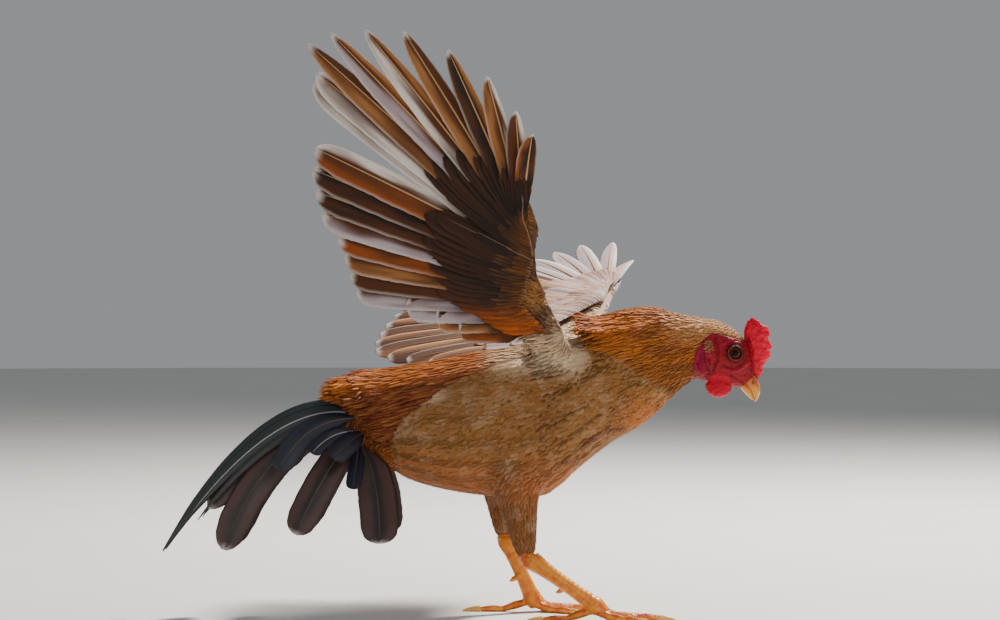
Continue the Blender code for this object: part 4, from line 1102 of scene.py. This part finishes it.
eyeLids = ((4.3, 0.35), (5.2, -0.35), (6.1, 0.3), (7.2, -0.3))  # rings round the eye: how far out, how high
headNodes = ("head", "ear_right", "ear_left", "wattle_right", "wattle_left", "comb")
faceBm = castOver(headNodes, 0.42, 0.32, 4, 0.05)
relax(faceBm, [v for v in faceBm.verts if v.co.x > 162.5 and v.co.z > 143], 7)
relax(faceBm, [v for v in faceBm.verts if 137 < v.co.x < 158 and 136.5 < v.co.z < 144], 30)
faceBm.normal_update()
faceLayer = tintOn(faceBm)
for vert in faceBm.verts:
    spot = vert.co.copy()
    fromEye = math.hypot(spot.x - eyePlace.x, spot.z - eyePlace.z)
    bareness, comb, wattle = faceBare(spot.x, spot.z), onComb(spot), onWattle(spot)
    colour, out = faceShade(spot), 0.0
    if bareHead(spot.x + 0.6, spot.z - 0.6) or comb > 0:
        for line, half, rise in folds:
            close = math.exp(-(nearFold(spot.x, spot.z, line) / half) ** 2) * (1 - comb)
            out += rise * close
            # painted shade in the sunken folds and painted highlight on the raised ones
            if rise < 0:
                colour = blendRgb(colour, rgb(88, 10, 40), 0.5 * close)
            else:
                colour = blendRgb(colour, rgb(184, 50, 92), 0.25 * close)
        lids = sum(high * math.exp(-((fromEye - r) / 0.42) ** 2) for r, high in eyeLids)
        out += lids if abs(spot.y) > 5 else 0
        out += (wobble(spot, 0.6) * 0.28 + wobble(spot, 1.4) * 0.16) * (1 - comb)
        out += comb * sum(wobble(spot, scale) * high for scale, high in combLook["grain"])
        colour = blendRgb(colour, combShade(spot), comb)
        lobe = blendRgb(rgb(194, 10, 74), rgb(244, 90, 116), 1 - ramp(spot.z, 128.8, 131.4))
        colour = blendRgb(colour, lobe, wattle)
    vert.co += vert.normal * out * max(bareness, comb)
    vert.co = vert.co.lerp(Vector((spot.x + 2, 0, 153)), 0.35 * (1 - bareness) * (1 - comb))
    if comb > 0:
        # rounded points round its rim
        angle = math.atan2(spot.z - 158, spot.x - 168)
        reach = math.hypot(spot.z - 158, spot.x - 168)
        tooth = combLook["tooth"] * math.sin(angle * 8 + 0.8) + combLook["nick"] * math.sin(angle * 17)
        vert.co += Vector((math.cos(angle), 0, math.sin(angle))) * comb * ramp(reach, 4, 11) * tooth
        vert.co.x += comb * (spot.x - 165) * combLook["forward"]
        vert.co.z += comb * (spot.z - 158) * combLook["upward"]
    vert[faceLayer] = (*colour, 1)
face = settle(faceBm, "face", [facePaint.material])
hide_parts(*headNodes)
print("face", len(face.data.polygons))


def headKeep(spot, normal):
    x, y, z = spot
    return coatLook["head"]["gap"] if feathered(spot) and 129 < x < 165 and z > 128 else None


def headBuild(spot, normal, rng):
    length = coatLook["head"]["length"] * (1 + 0.9 * (1 - ramp(spot.x, 130, 144))) * rng.uniform(0.8, 1.2)
    return length, coatLook["head"]["width"] * rng.uniform(0.8, 1.2), Vector((-1, 0, -0.25)), 0.4, 0.3


growCoat("coat_head", skin.data, "lance", headKeep, (0.8, 0.9), headBuild, strandTint, 16)


def tuftKeep(spot, normal):
    near = ((spot[0] - 141.4) / 2.3) ** 2 + ((spot[2] - 159.5) / 3.4) ** 2
    return 0.5 if near < 1 and abs(spot[1]) > 9 else None


def tuftBuild(spot, normal, rng):
    length = 2.6 * rng.uniform(0.7, 1.2)
    return length, 0.42, Vector((-0.9, 0, -0.5)) + Vector(rng.normal(0, 0.2, 3)), 0.9, 0.0


def tuftTint(spot, normal, rng):
    return rgb(150, 108, 78), blendRgb(rgb(190, 146, 110), cream, rng.uniform(0, 0.4))


growCoat("ear_tufts", face.data, "barb", tuftKeep, (0.5, 0.6), tuftBuild, tuftTint, 17)


def fleshPiece(name, names, voxel, bumps, shade, paint, rounds, swell, extra=()):
    bm = castOver(names, voxel, 0.12, rounds, -swell, extra)
    bm.normal_update()
    layer = tintOn(bm)
    for vert in bm.verts:
        spot = vert.co.copy()
        for scale, high in bumps:
            vert.co += vert.normal * noise.noise(spot * scale) * high
        vert[layer] = (*shade(spot), 1)
    piece = settle(bm, name, [paint.material])
    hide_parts(*names)


hornPaint = Paint("beak_horn", {"Roughness": 0.32, "Coat Weight": 0.2})
hornTint = hornPaint.tint()
hornGrain = hornPaint.grain(hornPaint.place((900, 900, 160)), 1.0)
hornPaint.colour(hornPaint.mix(hornPaint.spread(hornGrain, 0.35, 0.7, 0.0, 0.4), hornTint,
                               (0.35, 0.12, 0.03)))


def beakShade(spot):
    # the line of the mouth runs from the corner to the point
    mouth = nearFold(spot.x, spot.z, ((160, 138.6), (163.6, 136.2), (166.4, 132.2), (168.2, 127.4)))
    colour = blendRgb(rgb(240, 180, 96), rgb(206, 112, 56), ramp(spot.z, 129, 138))
    colour = blendRgb(colour, rgb(96, 44, 22), 1 - ramp(mouth, 0.15, 0.5))
    # painted shade: the nostril's opening as a dark spot
    nostril = math.hypot(spot.x - 167.2, (spot.z - 137.4) * 0.7)
    return blendRgb(colour, rgb(70, 26, 16), (1 - ramp(nostril, 0.5, 1.1)) * (abs(spot.y) > 1.6))


beakCore = (
    # lines of stations: x, z, half depth, half breadth
    ((162.2, 138.6, 1.5, 3.0), (164.9, 134.6, 1.6, 2.7), (166.6, 131.4, 1.4, 2.0), (167.7, 128.6, 1.0, 1.1),
     (168.2, 127.2, 0.6, 0.6)),
    ((161.4, 141.6, 2.6, 3.4), (163.2, 140.6, 3.0, 3.9), (166.0, 137.8, 3.0, 3.6)),
    ((158.6, 139.0, 1.2, 3.2), (161.2, 136.2, 1.5, 3.5), (163.0, 133.8, 1.4, 2.8)),
)
beakBm = bmesh.new()
for line in beakCore:
    spots = [Vector((x, 0, z)) for x, z, deep, out in line]
    along = (spots[-1] - spots[0]).normalized()
    deep = along.cross(Vector((0, 1, 0)))
    limb(beakBm, [(spot, Vector((0, row[3], 0)), deep * row[2]) for spot, row in zip(spots, line)])
fleshPiece("beak", ["beak_upper", "beak_lower"], 0.22, ((1.6, 0.05),), beakShade, hornPaint, 5, 0.12,
           [meshFrom(beakBm, "core")])

eyePaint = Paint("eye_ball", {"Roughness": 0.28, "Specular IOR Level": 0.12})
eyeGrain = eyePaint.grain(eyePaint.place(), 1800.0)
eyePaint.colour(eyePaint.mix(eyeGrain * 0.25, eyePaint.tint(), (0.02, 0.01, 0.01)))
eyeBm = bmesh.new()
for side in (-1, 1):
    middle = Vector((eyePlace.x, side * eyePlace.y, eyePlace.z))
    turn = Matrix.Rotation(-side * math.pi / 2, 4, "X")
    bmesh.ops.create_uvsphere(eyeBm, u_segments=40, v_segments=24, radius=4.1,
                              matrix=Matrix.Translation(middle) @ turn)
eyeLayer = tintOn(eyeBm)
for vert in eyeBm.verts:
    off = math.hypot(vert.co.x - eyePlace.x, vert.co.z - eyePlace.z)
    colour = blendRgb(rgb(3, 2, 2), rgb(104, 66, 48), ramp(off, 1.95, 2.15))
    colour = blendRgb(colour, rgb(40, 22, 20), ramp(off, 2.75, 3.1))
    vert[eyeLayer] = (*colour, 1)
    vert.co.y += math.copysign(0.4 * (1 - ramp(off, 0, 2.8)), vert.co.y)
eyes = settle(eyeBm, "eyes", [eyePaint.material])
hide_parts("eye_right", "eye_left")

# Legs: plates down the front of shank and toes, small scales behind

legPlan = {
    "plate": 3.1, "toePlate": 2.5,
    "legs": ((-1, (34, 23, 37.5), (74.5, 25, 8.6), -2), (1, (22, 23, 45), (38, 25, 8.6), 4)),
    "toes": ((-34, -1, 27), (0, -1, 37), (32, -1, 29), (174, 3, 28)),
}


def legBones():
    # start, end, the side that carries the plates and their length
    bones = []
    for side, hock, ball, turned in legPlan["legs"]:
        hock, ball = Vector((hock[0], side * hock[1], hock[2])), Vector((ball[0], side * ball[1], ball[2]))
        along = (ball - hock).normalized()
        front = Vector((0, 0, 1)) - along * along.z
        bones.append((hock, ball, front.normalized(), legPlan["plate"]))
        for turn, begin, length in legPlan["toes"]:
            way = math.radians((turned + turn) * side)
            flat = Vector((math.cos(way), math.sin(way), 0))
            start = Vector((ball.x, ball.y, 4.5)) + flat * begin
            up = Vector((0, 0, 1))
            bones.append((start + up * 2, start + flat * length - up * 2, up, legPlan["toePlate"]))
    return bones


legPaint = Paint("leg_scale", {"Roughness": 0.40, "Coat Weight": 0.1})
legTint = legPaint.tint()
legCells = legPaint.spread(legPaint.cells(legPaint.place(), 700.0, "DISTANCE_TO_EDGE"), 0.0, 0.12)
legPaint.colour(legPaint.mix(legPaint.spread(legCells, 0.0, 1.0, 0.35, 0.0), legTint, (0.36, 0.07, 0.02)))
legPaint.relief(legCells, 0.15, 0.0003)
platePaint = Paint("leg_plate", {"Roughness": 0.36, "Coat Weight": 0.1})
plateGrain = platePaint.grain(platePaint.place(), 700.0)
platePaint.colour(platePaint.mix(platePaint.spread(plateGrain, 0.35, 0.7, 0.0, 0.15), platePaint.tint(),
                                 (0.62, 0.16, 0.03)))
bones = legBones()
hocks = []
for hock, ball, front, plate in bones[::5]:
    along, stub = (ball - hock).normalized(), bmesh.new()
    side = along.cross(front).normalized()
    limb(stub, [(hock - Vector((0, 0, -9)) - along * 2, side * 3.6, Vector((3.6, 0, 0))),
                (hock - along, side * 4.9, front * 5.2), (hock + along * 3, side * 4.6, front * 4.8)])
    hocks.append(meshFrom(stub, "hock"))
legBm = castOver(["shank_right", "shank_left", "foot_right", "foot_left"], 0.45, 0.3, 3, 0.0, hocks)
legBm.normal_update()
legLayer = tintOn(legBm)
for vert in legBm.verts:
    best = None
    for start, end, front, plate in bones:
        along = end - start
        share = max(0.0, min(1.0, (vert.co - start).dot(along) / along.length_squared))
        gap = (vert.co - start - along * share).length
        if best is None or gap < best[0]:
            best = (gap, front)
    gap, front = best
    facing = ramp(vert.normal.dot(front), 0.15, 0.6)
    colour = blendRgb(rgb(236, 160, 62), rgb(206, 110, 48), 0.4 + wobble(vert.co, 0.25))
    colour = blendRgb(colour, rgb(160, 60, 38), facing * 0.5)
    vert[legLayer] = (*colour, 1)
    vert.co += vert.normal * (-0.2 * facing + wobble(vert.co, 0.8) * 0.12)
    vert.co.z = max(vert.co.z, 0.0)
legTree = BVHTree.FromBMesh(legBm)
legs = settle(legBm, "legs", [legPaint.material])
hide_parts("shank_right", "shank_left", "foot_right", "foot_left")


def legPlates():
    # each plate is laid on the leg by rays from in front, and its far edge stands over the next one
    bm = bmesh.new()
    layer = tintOn(bm)
    rng = np.random.default_rng(5)
    for start, end, front, plate in bones:
        along = (end - start).normalized()
        side = along.cross(front).normalized()
        count = int((end - start).length / plate)
        half, reach = (104, 9) if plate > 3 else (88, 6.5)
        for k in range(count):
            rows = []
            warm = rng.uniform(0, 1)
            for s, lift in ((0.0, 0.04), (0.35, 0.17), (1.08, 0.28), (1.16, 0.1)):
                centre = start + along * plate * (k + s)
                row = []
                for step in range(9):
                    share = step / 4 - 1
                    angle = math.radians(half * share)
                    bow = along * plate * 0.22 * (1 - share * share) * (s > 0.5)
                    way = front * math.cos(angle) + side * math.sin(angle)
                    hit = legTree.ray_cast(centre + bow + way * reach, -way, reach)[0]
                    if hit is None or (hit - centre).length < 1.2:
                        row = None
                        break
                    row.append((hit + way * (lift * (1 - share ** 6) - 0.02), way))
                if row is None:
                    break
                rows.append(row)
            if len(rows) < 4:
                continue
            grid = []
            for row in rows + [[(spot - way * 0.5, way) for spot, way in row] for row in rows[::-1]]:
                grid.append([bm.verts.new(spot) for spot, way in row])
            for r, loop in enumerate(grid):
                for vert in loop:
                    seam = 0.75 if r in (0, 3, 4) else 0.0
                    colour = blendRgb(rgb(240, 172, 56), rgb(216, 122, 40), 0.2 + 0.5 * warm)
                    vert[layer] = (*blendRgb(colour, rgb(168, 58, 34), seam), 1)
            for r in range(len(grid)):
                for c in range(8):
                    one, two = grid[r], grid[(r + 1) % len(grid)]
                    bm.faces.new((one[c], one[c + 1], two[c + 1], two[c]))
            for c in (0, 8):
                rim = [loop[c] for loop in grid]
                for r in range(3):
                    bm.faces.new((rim[r], rim[r + 1], rim[-r - 2], rim[-r - 1]))
    bmesh.ops.recalc_face_normals(bm, faces=bm.faces)
    piece = settle(bm, "leg_plates", [platePaint.material])
    print("leg plates", len(piece.data.polygons))


clawPaint = Paint("claw_horn", {"Roughness": 0.3, "Coat Weight": 0.2})
clawGrain = clawPaint.grain(clawPaint.place(), 900.0)
clawPaint.colour(clawPaint.mix(clawPaint.spread(clawGrain, 0.3, 0.7), (0.86, 0.50, 0.12), (0.58, 0.27, 0.06)))
fleshPiece("claws", [n for n in nodes if n.startswith("claw_")], 0.25, (), lambda spot: rgb(245, 190, 60),
           clawPaint, 1, 0.35)
print("legs", len(legs.data.polygons))
legPlates()

# Floor, light and camera

floorPaint = Paint("pale_floor", {"Roughness": 0.75})
floorGrain = floorPaint.grain(floorPaint.place(), 6.0)
floorPaint.colour(floorPaint.mix(floorGrain, (0.62, 0.61, 0.59), (0.70, 0.69, 0.67)))
floorBm = bmesh.new()
bmesh.ops.create_circle(floorBm, cap_ends=True, segments=96, radius=7.0)
floorMesh = meshFrom(floorBm, "floor")
floorMesh.materials.append(floorPaint.material)
floor = linked("floor", floorMesh)

studio = {
    "sky": (0.80, 0.83, 0.86, 1), "skyLight": 0.36, "lens": 100, "camera": (0.0188, -1.633, 0.180),
    # name, place, what it is turned to, size, watts, colour
    "lamps": (("sun", (0.75, 0.8, 1.5), (0, 0, 0.18), 0.30, 100, (1, 0.95, 0.87)),
              ("front", (0.5, -1.6, 0.9), (0.02, 0, 0.15), 1.2, 6.5, (1, 0.97, 0.93)),
              ("fill", (-1.3, -0.9, 0.5), (0, 0, 0.15), 1.0, 2.5, (0.92, 0.95, 1))),
}
world = bpy.data.worlds.new("studio")
bpy.context.scene.world = world
world.use_nodes = True
sky = world.node_tree.nodes["Background"].inputs
sky["Color"].default_value = studio["sky"]
sky["Strength"].default_value = studio["skyLight"]


def lamp(name, place, target, size, power, colour):
    data = bpy.data.lights.new(name, "AREA")
    data.shape = "DISK"
    data.size = size
    data.energy = power
    data.color = colour
    turn = (Vector(target) - Vector(place)).to_track_quat("-Z", "Y").to_matrix().to_4x4()
    linked(name, data).matrix_world = Matrix.Translation(place) @ turn


for row in studio["lamps"]:
    lamp(*row)

camera = bpy.data.cameras.new("camera")
camera.lens = studio["lens"]
camera.sensor_width = 36
view = linked("camera", camera)
x, y, z = studio["camera"]
view.matrix_world = Matrix.Translation((x + shiftX, y + shiftY, z)) @ Matrix.Rotation(math.pi / 2, 4, "X")
bpy.context.scene.camera = view
